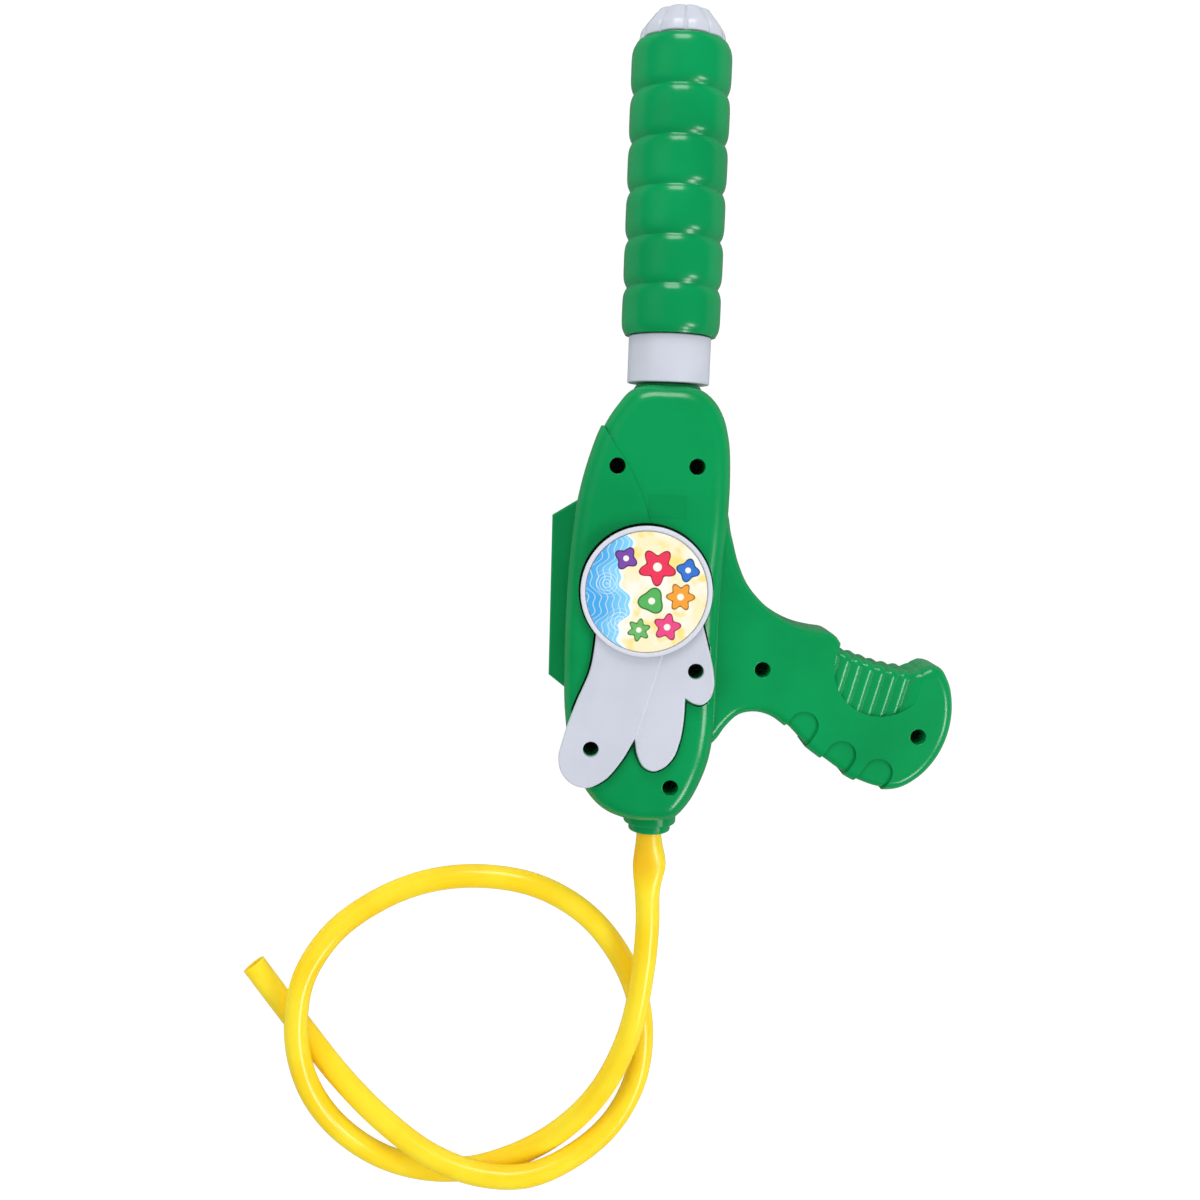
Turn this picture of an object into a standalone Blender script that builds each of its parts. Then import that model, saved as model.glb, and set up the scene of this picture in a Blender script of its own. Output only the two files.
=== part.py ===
# Water squirter of a backpack water set: a pump gun on its side, with its supply hose.
# +Y runs along the pump's axis to the nozzle, +X to the grip, +Z up from the rest face.
import math

import bmesh
import bpy
from mathutils import Vector

MM = 0.001

# Fits
FIT = 0.3 * MM               # gap between pieces that touch
SLIDE_FIT = 0.4 * MM         # radial gap of the pieces that slide
REST_GAP = 0.5 * MM          # collar to neck with the pump pushed home

# Pump grip, a sleeve of rings round the cylinder
SLEEVE_ROOM = 2.5 * MM       # radial room between the cylinder and the sleeve
SLEEVE_WALL = 2.2 * MM
SLEEVE_LIP = 2.5 * MM        # length of the inward lip at each end
RING_DEPTH = 1.6 * MM
RING_PITCH = 19.5 * MM
RING_COUNT = 6
RING_SHAPE = (0.0, 0.09, 0.26, 0.74, 0.91)   # stations of one ring, as shares of its pitch
RING_POWER = 5               # how square a ring's shoulders are

# Pump cylinder and what closes it
CYLINDER_BORE = 12.5 * MM    # radius
CYLINDER_WALL = 2.0 * MM
CYLINDER_HEAD = 3.0 * MM     # thickness of its closed front end
COLLAR_SKIRT = 2.6 * MM      # wall of the collar round the cylinder
COLLAR_LENGTH = 19.6 * MM
COLLAR_WALL = 3.0 * MM       # wall of the collar behind the cylinder
COLLAR_BEVEL = 0.6 * MM
STROKE = 100.0 * MM          # the bush in the cylinder's rear stops on the piston

# Fixed rod and piston
ROD_RADIUS = 6.0 * MM
ROD_BORE = 3.5 * MM          # radius
ROD_REAR = -62.0 * MM        # its rear end, along Y
ROD_FLANGE = 9.5 * MM        # radius
ROD_FLANGE_Y = 70.0 * MM
FLANGE_LENGTH = 3.0 * MM
PISTON_LENGTH = 18.0 * MM
PISTON_SOCKET = 7.0 * MM     # depth that the rod enters
PISTON_HUB = 8.5 * MM        # radius
PISTON_LAND = 2.0 * MM       # length of each land beside the ring groove
PISTON_AHEAD = 1.5 * MM      # water space left ahead of the piston at rest
SEAL_RADIUS = 1.2 * MM       # section radius of the piston's O-ring

# Check valves: a ball on a round port, held in by a cage
INLET_BALL = 3.2 * MM        # radii
INLET_PORT = 2.4 * MM
INLET_TRAVEL = 1.8 * MM
OUTLET_BALL = 2.6 * MM
OUTLET_PORT = 1.9 * MM
OUTLET_TRAVEL = 1.5 * MM
BALL_ROOM = 0.6 * MM         # radial room round a ball
PORT_WALL = 1.5 * MM         # wall that a port goes through
CAGE_THICK = 1.4 * MM
CAGE_SLOT = 1.2 * MM         # width of the water slots
CAGE_RIM = 0.7 * MM          # wall left outside the ends of the slots
CAGE_BORE = 1.2 * MM         # radius

# Nozzle cap, a crown of petals
CAP_WALL = 3.4 * MM          # wall of the lip round the cylinder
CAP_LIP = 1.0 * MM
CAP_FACE = 2.0 * MM          # thickness of the front face
CAP_FRONT = 11.2 * MM        # radius of its front face
CAP_STEP = 0.5 * MM          # radial step from the lip to the petals
CAP_MOUTH = 1.0 * MM         # depth that the cylinder enters
PETAL_COUNT = 10
PETAL_GROOVE = 0.9 * MM
PETAL_DEPTH = 0.8 * MM
# The crown's outline from the front to the lip, as shares of its height and of its narrowing
CROWN_SHAPE = ((1.0, 1.0), (0.93, 0.86), (0.3, 0.04), (0.0, 0.0))
SPIGOT_RADIUS = 9.0 * MM     # what the cap screws on to
GASKET_THICK = 1.2 * MM
GASKET_BORE = 4.6 * MM       # radius
TIP_FLANGE = 1.2 * MM
TIP_RADIUS = 4.0 * MM
TIP_BORE = 1.6 * MM          # radius
TIP_ORIFICE = 0.8 * MM       # radius
TIP_ORIFICE_LENGTH = 2.0 * MM
TIP_PROUD = 0.4 * MM

# Gun shells: the pod, the web with its grip, the neck, the outlet and the sight fin
SHELL_WALL = 2.2 * MM
PARTING_GAP = 0.3 * MM
POD_EDGE = 8.0 * MM          # edge rounding
PANEL_RISE = 0.7 * MM        # how far the side panels stand above the faces
PANEL_PROUD = 1.1 * MM       # how far they stand out at the pod's edge
GRIP_HALF = 13.5 * MM        # half thickness
GRIP_EDGE = 4.6 * MM
GRIP_FLOOR = 1.6 * MM        # wall left under the deepest relief
NECK_PROUD = 0.6 * MM        # how far the neck stands out of the pod
NECK_RADIUS = 13.6 * MM
NECK_LENGTH = 9.0 * MM
OUTLET_PROUD = 7.8 * MM      # how far the outlet stands out of the pod
OUTLET_RADIUS = 9.2 * MM
OUTLET_LENGTH = 3.6 * MM
OUTLET_STEP_RADIUS = 11.5 * MM
OUTLET_STEP_LENGTH = 12.0 * MM
FIN_HALF = 3.6 * MM          # half thickness
FIN_EDGE = 1.0 * MM

# Relief on the grip
THUMB_CENTRE = (95.4, -26.8)
THUMB_RADIUS = 20.3 * MM
THUMB_DEPTH = 1.0 * MM
RIB_PITCH = 5.2 * MM
RIB_COUNT = 8
RIB_LEAN = math.radians(14)
RIB_GROOVE = 1.5 * MM        # width of the valley between two ribs
RIB_DEPTH = 0.9 * MM
FINGER_CENTRES = ((63.5, -52.4), (80.3, -64.6), (96.5, -71.8))
FINGER_RADIUS = 6.4 * MM
FINGER_DEPTH = 1.2 * MM
FINGER_ANGLE = math.radians(-30.5)   # line of the finger hollows, from +X

# Screws that close the shells, their bosses and the ribs that cradle the rod
PLATE_SCREW_PLACES = ((15.5, -28.8), (-27.1, -63.5))     # reached through the wing plate
SCREW_PLACES = (
    (-20.4, 55.2), (12.5, 55.9), *PLATE_SCREW_PLACES, (7.2, -79.8), (44.7, -28.7),
    (112.7, -55.3))
SCREW_HEAD = 2.7 * MM        # radii
SCREW_SHANK = 1.2 * MM
SCREW_HEAD_HEIGHT = 1.8 * MM
SCREW_HEAD_EDGE = 0.6 * MM
SCREW_LENGTH = 11.0 * MM     # below the head
ACCESS_RADIUS = 3.3 * MM
BOSS_WALL = 1.0 * MM
BOSS_FLOOR = 2.4 * MM        # what the screw head bears on
CRADLE_THICK = 2.0 * MM
CRADLE_WIDTH = 26.0 * MM

# Wing plate and round badge on the near face
PLATE_THICK = 2.6 * MM
PLATE_EDGE = 0.6 * MM
PLATE_LINE = 0.7 * MM        # width of the line between its two long feathers
PLATE_LINE_DEPTH = 0.4 * MM
PEG_RADIUS = 1.8 * MM
PEG_LENGTH = 1.8 * MM
PEG_PLACES = ((-20.0, -38.0), (5.0, -30.0))
BADGE_CENTRE = (-6.5, 4.0)
BADGE_RADIUS = 27.2 * MM
BADGE_OVERHANG = 2.4 * MM    # how far it stands out past the plate's round seat
BADGE_THICK = 2.4 * MM
BADGE_RIM = 2.0 * MM
BADGE_BEVEL = 0.5 * MM
LABEL_RECESS = 0.9 * MM
LABEL_THICK = 0.4 * MM

# Supply hose and the barb that it is pushed on to
HOSE_RADIUS = 5.3 * MM
HOSE_BORE = 3.6 * MM         # radius
HOSE_STEP = 27.0 * MM
BARB_SOCKET = 10.0 * MM      # depth that the rod enters
BARB_HUB = 9.0 * MM          # radius
BARB_FLANGE = 10.5 * MM      # radius
BARB_WALL = 3.0 * MM         # wall behind the rod's end
STEM_RADIUS = 2.4 * MM
STEM_BORE = 1.4 * MM         # radius
BARB_PITCH = 5.0 * MM
BARB_NECK = 1.0 * MM         # plain stem between two barbs
BARB_COUNT = 3
BARB_REACH = 16.0 * MM       # how far the stem reaches behind the outlet

# Outlines, in millimetres on the plane of the pump's axis
POD_OUTLINE = (
    (0, 89.2), (-9, 88.9), (-15.9, 86.4), (-21.0, 80.5), (-26.5, 71.5), (-31.2, 58.4),
    (-35.4, 40.4), (-37.8, 18.3), (-38.7, -6), (-38.6, -30), (-37.6, -49.9), (-34.2, -69.8),
    (-28.1, -84.5), (-21.0, -91.6), (-11.7, -95.4), (0, -96.3), (9.6, -94.6), (15.2, -88.6),
    (19.9, -79.5), (23.3, -69.3), (25.0, -58), (25.3, -30), (25.6, 10), (27.0, 40),
    (27.0, 52), (25.4, 68.8), (23.1, 76.6), (19.1, 83.1), (14, 87.2), (8, 88.9))
PANEL_REGION = (
    ((-60, 74), (-60, -60)),
    ((-60, -60), (-37.6, -60)),
    ((-37.6, -60), (-22, -59.5), (-8, -52.5), (4, -48), (12, -38), (19, -32), (19.5, -24),
     (16, -10), (12, 4), (5, 14), (-2.6, 22.6), (-5.7, 31.8), (-8.6, 41.2), (-12.2, 48.8),
     (-16.4, 56.6), (-22.5, 65.1),
     (-26.7, 71.5)),
    ((-26.7, 71.5), (-60, 74)))
FIN_OUTLINE = ((-28.0, 45.6), (-47.2, 33.3), (-46.6, -35.8), (-28.0, -50.0))
GRIP_OUTLINE = (
    (16, 43), (25.3, 39.9), (29.1, 27.7), (33.0, 15), (36.6, 7.6), (42.3, 0.8), (50.9, -5.8),
    (59.3, -9.5), (67.5, -11.1), (72.6, -11.8), (76.3, -14.2), (79.0, -18.2), (87.8, -21.8),
    (97.3, -24.8), (107.0, -26.4), (112.3, -26.6), (116.2, -24.7), (120.8, -25.4),
    (124.9, -31.2), (127.3, -41.2), (126.5, -53.4), (122.2, -64.6), (114.0, -74.4),
    (106.3, -78.9), (99.8, -79.8), (88.9, -77.1), (71.7, -66.9), (64.8, -61.9), (55.1, -52.8),
    (49.6, -49.2), (43.4, -47.6), (35.9, -49.1), (30.7, -54.2), (25.9, -61.2), (19, -66),
    (13, -58), (12, -10), (12, 34))
WING_OUTLINE = (
    ((-26.2, -8), (-26.9, -18), (-28.4, -29), (-33.9, -43.8), (-39.0, -59.6), (-40.6, -67.5),
     (-39.4, -73.6), (-35.0, -78.6), (-28.4, -80.3), (-21.6, -77.2), (-14.4, -68.8), (-8.8, -58.6)),
    ((-8.8, -58.6), (-7.4, -65.6), (-4.6, -70.4), (-0.6, -72.1), (3.8, -70.4), (7.6, -66.2),
     (10.2, -58.6), (11.5, -48), (11.6, -40.4)),
    ((11.6, -40.4), (14.9, -42.4), (18.7, -42.9), (22.0, -40.2), (23.4, -35.6), (22.9, -28.6),
     (20.6, -19.5), (16.6, -6)),
    ((16.6, -6), (-5, 0), (-26.2, -8)))
WING_LINE = ((-8.2, -56.6), (1.2, -21.6))

# Centre line of the hose, chosen by hand: it leaves the outlet, lies in a loose loop that
# crosses itself three times, over, under and over in turn, and ends open.
HOSE_ROUTE = (
    (0.0, -98.5, 20.8), (0.0, -113.0, 20.8), (0.0, -126.0, 20.8), (1.2, -147.0, 20.3),
    (0.0, -172.0, 19.0), (-4.8, -201.8, 16.8), (-18.5, -234.3, 12.6), (-36.9, -256.1, 8.6),
    (-57.2, -269.9, 5.9), (-76.9, -276.8, 5.4), (-95.3, -277.7, 5.4), (-115.1, -272.9, 6.2),
    (-136.0, -257.4, 10.2), (-151.6, -231.1, 15.8), (-156.5, -200.6, 17.1), (-153.6, -181.5, 15.6),
    (-142.0, -162.1, 10.6), (-122.0, -147.0, 6.2), (-98.4, -137.0, 5.4), (-73.6, -134.0, 5.4),
    (-47.6, -138.3, 5.4), (-26.1, -150.6, 5.4), (-10.8, -168.4, 5.4), (-1.3, -188.6, 5.4),
    (1.7, -209.5, 5.4), (-1.4, -231.8, 6.0), (-11.3, -250.1, 8.5), (-28.4, -264.4, 12.4),
    (-49.4, -272.2, 16.9), (-71.7, -271.9, 17.3), (-93.1, -265.5, 15.3), (-116.8, -251.4, 10.6),
    (-138.0, -232.4, 7.1), (-154.1, -213.4, 5.4), (-167.2, -196.2, 5.4), (-179.3, -180.0, 5.4))

FILLET_STEPS = 3
GRIP_FILLET_STEPS = 2
SMALL_FILLET_STEPS = 1
OUTLINE_STEP = 10.0 * MM
TURN_STEPS = 24
FINE_TURN_STEPS = 10
ROD_STEPS = 14
CAP_STEPS = 3 * PETAL_COUNT
BADGE_STEPS = 36
FINGER_STEPS = 6

# Radii that several pieces share; the side panels and the rings touch the floor together
CYLINDER_OUTER = CYLINDER_BORE + CYLINDER_WALL
RING_RADIUS = CYLINDER_OUTER + SLEEVE_ROOM + SLEEVE_WALL + RING_DEPTH
AXIS_HEIGHT = RING_RADIUS
POD_HALF = AXIS_HEIGHT
OUTLET_BORE = HOSE_RADIUS + FIT

# Stations along Y that several pieces share
NECK_END = max(y for x, y in POD_OUTLINE) * MM + NECK_PROUD
OUTLET_END = min(y for x, y in POD_OUTLINE) * MM - OUTLET_PROUD
COLLAR_REAR = NECK_END + REST_GAP
SLEEVE_REAR = COLLAR_REAR + COLLAR_LENGTH + FIT
SLEEVE_FRONT = SLEEVE_REAR + RING_COUNT * RING_PITCH
CAP_REAR = SLEEVE_FRONT + FIT
CYLINDER_REAR = COLLAR_REAR + COLLAR_WALL + FIT
CYLINDER_FRONT = CAP_REAR + CAP_MOUTH
CHAMBER_FRONT = CYLINDER_FRONT - CYLINDER_HEAD
PISTON_FRONT = CHAMBER_FRONT - PISTON_AHEAD
PISTON_REAR = PISTON_FRONT - PISTON_LENGTH
BARB_FRONT = ROD_REAR + BARB_SOCKET
BARB_REAR = ROD_REAR - FIT - BARB_WALL
BUSH_FRONT = PISTON_REAR - STROKE - FIT

for old in list(bpy.data.objects):
    bpy.data.objects.remove(old)

part = bpy.data.collections.new("backpack_water_squirter")
cutters = bpy.data.collections.new("cutters")
bpy.context.scene.collection.children.link(part)
bpy.context.scene.collection.children.link(cutters)


def plastic(name, color, roughness, metallic=0.0):
    material = bpy.data.materials.new(name)
    material.use_nodes = True
    shader = material.node_tree.nodes["Principled BSDF"]
    shader.inputs["Base Color"].default_value = (*color, 1.0)
    shader.inputs["Roughness"].default_value = roughness
    shader.inputs["Metallic"].default_value = metallic
    material.diffuse_color = (*color, 1.0)
    return material


GREEN = plastic("green_plastic", (0.004, 0.31, 0.09), 0.3)
GREY = plastic("pale_grey_plastic", (0.61, 0.65, 0.74), 0.4)
WHITE = plastic("white_plastic", (0.78, 0.80, 0.83), 0.4)
YELLOW = plastic("yellow_vinyl", (0.96, 0.72, 0.02), 0.3)
PRINT = plastic("badge_print", (0.55, 0.75, 0.85), 0.35)
RUBBER = plastic("black_rubber", (0.03, 0.03, 0.03), 0.6)
STEEL = plastic("screw_steel", (0.45, 0.45, 0.47), 0.3, 1.0)


def empty(name):
    frame = bpy.data.objects.new(name, None)
    part.objects.link(frame)
    frame.location = (0, 0, AXIS_HEIGHT)
    return frame


GUN = empty("gun_frame")
PUMP = empty("pump_slide")


def place(name, mesh, material, frame=None):
    """Add a finished mesh as a piece of the object, or as a cutter if it has no material."""
    thing = bpy.data.objects.new(name, mesh)
    thing.parent = frame or GUN
    if material is None:
        cutters.objects.link(thing)
        thing.hide_render = True
        thing.display_type = "WIRE"
    else:
        part.objects.link(thing)
        mesh.materials.append(material)
    return thing


def thinned(loop):
    """Every second point of a loop, for the hollows."""
    return loop[::2]


def spline(points, closed, step):
    """Points along a smooth curve through the given ones, about a step apart."""
    points = [Vector(p) for p in points]
    count = len(points)

    def slope(i):
        if closed or 0 < i < count - 1:
            before, here, after = points[i - 1], points[i], points[(i + 1) % count]
        elif i == 0:
            return (points[1] - points[0]).normalized()
        else:
            return (points[-1] - points[-2]).normalized()
        a, b = (here - before).length, (after - here).length
        return ((here - before) / a * b + (after - here) / b * a) / (a + b)

    path = []
    for i in range(count if closed else count - 1):
        start, end = points[i], points[(i + 1) % count]
        span = (end - start).length
        m0, m1 = slope(i) * span, slope((i + 1) % count) * span
        steps = max(1, round(span / step))
        for k in range(steps):
            t = k / steps
            path.append(
                start * (2 * t ** 3 - 3 * t ** 2 + 1) + m0 * (t ** 3 - 2 * t ** 2 + t)
                + end * (3 * t ** 2 - 2 * t ** 3) + m1 * (t ** 3 - t ** 2))
    if not closed:
        path.append(points[-1])
    return path


def smooth_outline(outline, step=OUTLINE_STEP):
    """An outline in metres: one smooth loop, or smooth runs that meet in corners."""
    if not isinstance(outline[0][0], tuple):
        return spline([Vector(p) * MM for p in outline], True, step)
    loop = []
    for run in outline:
        loop += spline([Vector(p) * MM for p in run], False, step)[:-1]
    return loop


def inset_loop(loop, distance):
    """The loop drawn in by a distance, each corner along its mean normal."""
    area = sum(a.cross(b) for a, b in zip(loop, loop[1:] + loop[:1]))
    side = 1 if area > 0 else -1
    moved = []
    for i, here in enumerate(loop):
        before = (here - loop[i - 1]).normalized()
        after = (loop[(i + 1) % len(loop)] - here).normalized()
        mean = (before + after).normalized()
        normal = Vector((-mean.y, mean.x)) * side
        moved.append(here + normal * distance / max(mean.dot(after), 0.5))
    return moved


def plate(name, loop, low, high, edge, material, frame=None, inset=0.0, rounds=FILLET_STEPS):
    """A flat outline from low to high, drawn in by an inset, with its edges rounded."""
    if inset:
        loop = inset_loop(loop, inset)
    curve = bpy.data.curves.new(name, "CURVE")
    curve.dimensions = "2D"
    curve.fill_mode = "BOTH"
    curve.extrude = (high - low) / 2
    run = curve.splines.new("POLY")
    run.points.add(len(loop) - 1)
    for point, place_xy in zip(run.points, loop):
        point.co = (place_xy.x, place_xy.y, 0, 1)
    run.use_cyclic_u = True
    guide = bpy.data.objects.new(name + "_curve", curve)
    cutters.objects.link(guide)
    guide.location = (0, 0, (low + high) / 2)
    bpy.context.view_layer.update()
    mesh = bpy.data.meshes.new_from_object(guide.evaluated_get(bpy.context.evaluated_depsgraph_get()))
    mesh.transform(guide.matrix_world)
    bpy.data.objects.remove(guide)
    bm = bmesh.new()
    bm.from_mesh(mesh)
    bmesh.ops.remove_doubles(bm, verts=bm.verts, dist=0.00001)
    for facing in (-1, 1):
        cap = [f for f in bm.faces if f.normal.z * facing > 0.9]
        bmesh.ops.dissolve_faces(bm, faces=cap, use_verts=False)
    bm.to_mesh(mesh)
    bm.free()
    thing = place(name, mesh, material, frame)
    if edge:
        bevel = thing.modifiers.new("edge", "BEVEL")
        bevel.width = edge
        bevel.segments = rounds
        bevel.limit_method = "ANGLE"
        bevel.angle_limit = math.radians(60)
        bevel.use_clamp_overlap = False
    return thing


def turned(name, profile, material, frame=None, steps=TURN_STEPS, centre=None):
    """Turn (radius, station) points about the pump's axis, or upright about a centre."""
    mesh = bpy.data.meshes.new(name)
    bm = bmesh.new()
    points = [bm.verts.new((radius, 0, station)) for radius, station in profile]
    ends_on_axis = profile[0][0] == 0 and profile[-1][0] == 0
    for a, b in zip(points, points[1:] + ([] if ends_on_axis else points[:1])):
        bm.edges.new((a, b))
    bm.to_mesh(mesh)
    bm.free()
    thing = place(name, mesh, material, frame)
    if centre is None:
        thing.rotation_euler = (-math.pi / 2, 0, 0)
    else:
        thing.location = (centre[0], centre[1], 0)
    turn = thing.modifiers.new("turn", "SCREW")
    turn.steps = turn.render_steps = steps
    turn.use_merge_vertices = True
    turn.merge_threshold = 0.000001
    return thing


def tube_profile(outer, inner, low, high):
    return [(outer, high), (outer, low), (inner, low), (inner, high)]


def rod_profile(radius, low, high):
    return [(0, high), (radius, high), (radius, low), (0, low)]


def box(name, size, centre, material=None, turn=0.0, frame=None):
    bm = bmesh.new()
    bmesh.ops.create_cube(bm, size=1)
    bmesh.ops.scale(bm, vec=size, verts=bm.verts)
    mesh = bpy.data.meshes.new(name)
    bm.to_mesh(mesh)
    bm.free()
    thing = place(name, mesh, material, frame)
    thing.location = centre
    thing.rotation_euler = (0, 0, turn)
    return thing


def combine(thing, operation, other):
    step = thing.modifiers.new(other.name, "BOOLEAN")
    step.operation = operation
    step.solver = "EXACT"
    step.object = other
    return thing


def cut(thing, other):
    return combine(thing, "DIFFERENCE", other)


def join(thing, other):
    return combine(thing, "UNION", other)


def group(name, pieces):
    """One cutter that holds several shapes, by union."""
    first = pieces[0]
    for other in pieces[1:]:
        join(first, other)
    first.name = name
    return first


def at(place_xy):
    return (place_xy[0] * MM, place_xy[1] * MM)


pod_loop = smooth_outline(POD_OUTLINE)
panel_loop = smooth_outline(PANEL_REGION)
grip_loop = smooth_outline(GRIP_OUTLINE)
fin_loop = [Vector(p) * MM for p in FIN_OUTLINE]
wing_loop = smooth_outline(WING_OUTLINE)


# Relief cutters for the grip, shared by both shells
def skin(name, region, depth):
    """What a region takes off the grip down to a depth, on the faces and round the edges."""
    core = plate(name + "_core", grip_loop, -GRIP_HALF + depth, GRIP_HALF - depth,
                 GRIP_EDGE - depth, None, inset=depth, rounds=GRIP_FILLET_STEPS)
    return cut(region, core)


thumb_disc = turned(
    "thumb_disc", rod_profile(THUMB_RADIUS, -2 * GRIP_HALF, 2 * GRIP_HALF), None,
    centre=at(THUMB_CENTRE))
thumb_relief = skin("thumb_relief", thumb_disc, THUMB_DEPTH)

grooves = []
for i in range(RIB_COUNT):
    offset = (i - (RIB_COUNT - 1) / 2) * RIB_PITCH
    grooves.append(box(
        "rib_groove_%d" % i, (RIB_GROOVE, 4 * THUMB_RADIUS, 4 * GRIP_HALF),
        (THUMB_CENTRE[0] * MM + offset, THUMB_CENTRE[1] * MM, 0), turn=-RIB_LEAN))
rib_grooves = group("rib_grooves", grooves)
rib_window = turned(
    "rib_window", rod_profile(THUMB_RADIUS - RIB_GROOVE, -2 * GRIP_HALF, 2 * GRIP_HALF), None,
    centre=at(THUMB_CENTRE))
combine(rib_grooves, "INTERSECT", rib_window)
skin("rib_grooves", rib_grooves, THUMB_DEPTH + RIB_DEPTH)


def finger_loop(centre):
    """A half circle on the face, run out past the grip's lower edge."""
    middle = Vector(at(centre))
    out = Vector((math.sin(FINGER_ANGLE), -math.cos(FINGER_ANGLE)))
    loop = []
    for k in range(FINGER_STEPS + 1):
        angle = FINGER_ANGLE + math.pi * k / FINGER_STEPS
        loop.append(middle + Vector((math.cos(angle), math.sin(angle))) * FINGER_RADIUS)
    return loop + [loop[-1] + out * 2 * FINGER_RADIUS, loop[0] + out * 2 * FINGER_RADIUS]


fingers = [plate("finger_%d" % i, finger_loop(centre), -2 * GRIP_HALF, 2 * GRIP_HALF, 0, None)
           for i, centre in enumerate(FINGER_CENTRES)]
finger_relief = skin("finger_relief", group("finger_relief", fingers), FINGER_DEPTH)


# The two shells, each with its bosses and the ribs that cradle the rod and the barb
def cradle_stations():
    for flange_rear, flange_length in (
            (ROD_FLANGE_Y, FLANGE_LENGTH), (BARB_REAR - FLANGE_LENGTH, FLANGE_LENGTH)):
        yield flange_rear - FIT - CRADLE_THICK / 2
        yield flange_rear + flange_length + FIT + CRADLE_THICK / 2


def shell(name, side):
    base_half = POD_HALF - PANEL_RISE
    body = plate(name, pod_loop, -base_half, base_half, POD_EDGE, GREEN)
    panel = plate(name + "_panel", pod_loop, -POD_HALF, POD_HALF, POD_EDGE, None,
                  inset=-PANEL_PROUD)
    window = plate(name + "_panel_window", panel_loop, -2 * POD_HALF, 2 * POD_HALF, 0, None)
    join(body, combine(panel, "INTERSECT", window))
    join(body, plate(name + "_grip", grip_loop, -GRIP_HALF, GRIP_HALF, GRIP_EDGE, None,
                     rounds=GRIP_FILLET_STEPS))
    join(body, plate(name + "_fin", fin_loop, -FIN_HALF, FIN_HALF, FIN_EDGE, None,
                     rounds=SMALL_FILLET_STEPS))
    join(body, turned(name + "_neck", rod_profile(NECK_RADIUS, NECK_END - NECK_LENGTH, NECK_END), None))
    join(body, turned(name + "_outlet", [
        (0, OUTLET_END + OUTLET_LENGTH + OUTLET_STEP_LENGTH),
        (OUTLET_STEP_RADIUS, OUTLET_END + OUTLET_LENGTH + OUTLET_STEP_LENGTH),
        (OUTLET_STEP_RADIUS, OUTLET_END + OUTLET_LENGTH),
        (OUTLET_RADIUS, OUTLET_END + OUTLET_LENGTH),
        (OUTLET_RADIUS, OUTLET_END),
        (0, OUTLET_END)], None))
    roof = POD_HALF - PANEL_RISE - SHELL_WALL
    cut(body, plate(name + "_pod_hollow", thinned(pod_loop), -roof, roof, POD_EDGE - SHELL_WALL, None,
                    inset=SHELL_WALL, rounds=SMALL_FILLET_STEPS))
    grip_wall = THUMB_DEPTH + RIB_DEPTH + GRIP_FLOOR
    cut(body, plate(name + "_grip_hollow", thinned(grip_loop), -GRIP_HALF + grip_wall,
                    GRIP_HALF - grip_wall, 0, None, inset=grip_wall))
    for i, station in enumerate(cradle_stations()):
        height = roof + SHELL_WALL / 2
        join(body, box("%s_cradle_%d" % (name, i), (CRADLE_WIDTH, CRADLE_THICK, 2 * height),
                       (0, station, 0)))
    for i, screw_place in enumerate(SCREW_PLACES):
        in_grip = screw_place[0] * MM > POD_HALF * 2
        top = (GRIP_HALF if in_grip else POD_HALF) - SHELL_WALL / 2 - PANEL_RISE
        join(body, turned("%s_boss_%d" % (name, i),
                          rod_profile(ACCESS_RADIUS + BOSS_WALL, -top, top), None,
                          centre=at(screw_place), steps=FINE_TURN_STEPS))
    other_side = box(name + "_other_side", (1, 1, 2 * POD_HALF),
                     (0, 0, -side * (POD_HALF - PARTING_GAP / 2)))
    cut(body, other_side)
    cut(body, turned(name + "_rod_room", rod_profile(
        ROD_RADIUS + FIT, BARB_REAR, NECK_END + REST_GAP), None))
    cut(body, turned(name + "_barb_room", [
        (0, BARB_FRONT + FIT), (BARB_HUB + FIT, BARB_FRONT + FIT),
        (BARB_HUB + FIT, BARB_REAR), (STEM_RADIUS + FIT, BARB_REAR),
        (STEM_RADIUS + FIT, OUTLET_END + OUTLET_LENGTH + OUTLET_STEP_LENGTH),
        (OUTLET_BORE, OUTLET_END + OUTLET_LENGTH + OUTLET_STEP_LENGTH),
        (OUTLET_BORE, OUTLET_END - FIT), (0, OUTLET_END - FIT)], None))
    cut(body, thumb_relief)
    cut(body, rib_grooves)
    cut(body, finger_relief)
    return body


near_shell = shell("near_shell", 1)
far_shell = shell("far_shell", -1)

screw_seat = PARTING_GAP / 2 + BOSS_FLOOR
for i, screw_place in enumerate(SCREW_PLACES):
    spot = at(screw_place)
    cut(near_shell, turned("screw_way_%d" % i, [
        (0, 2 * POD_HALF), (ACCESS_RADIUS, 2 * POD_HALF), (ACCESS_RADIUS, screw_seat),
        (SCREW_SHANK + FIT, screw_seat), (SCREW_SHANK + FIT, -PARTING_GAP),
        (0, -PARTING_GAP)], None, centre=spot, steps=FINE_TURN_STEPS))
    cut(far_shell, turned("screw_pilot_%d" % i, rod_profile(
        SCREW_SHANK + FIT, screw_seat - SCREW_LENGTH - 2 * FIT, PARTING_GAP), None,
        centre=spot, steps=FINE_TURN_STEPS))

peg_floor = POD_HALF + FIT - PEG_LENGTH
for i, peg_place in enumerate(PEG_PLACES):
    cut(near_shell, turned("peg_hole_%d" % i, rod_profile(
        PEG_RADIUS + FIT, peg_floor - FIT, 2 * POD_HALF), None,
        centre=at(peg_place), steps=FINE_TURN_STEPS))


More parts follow.
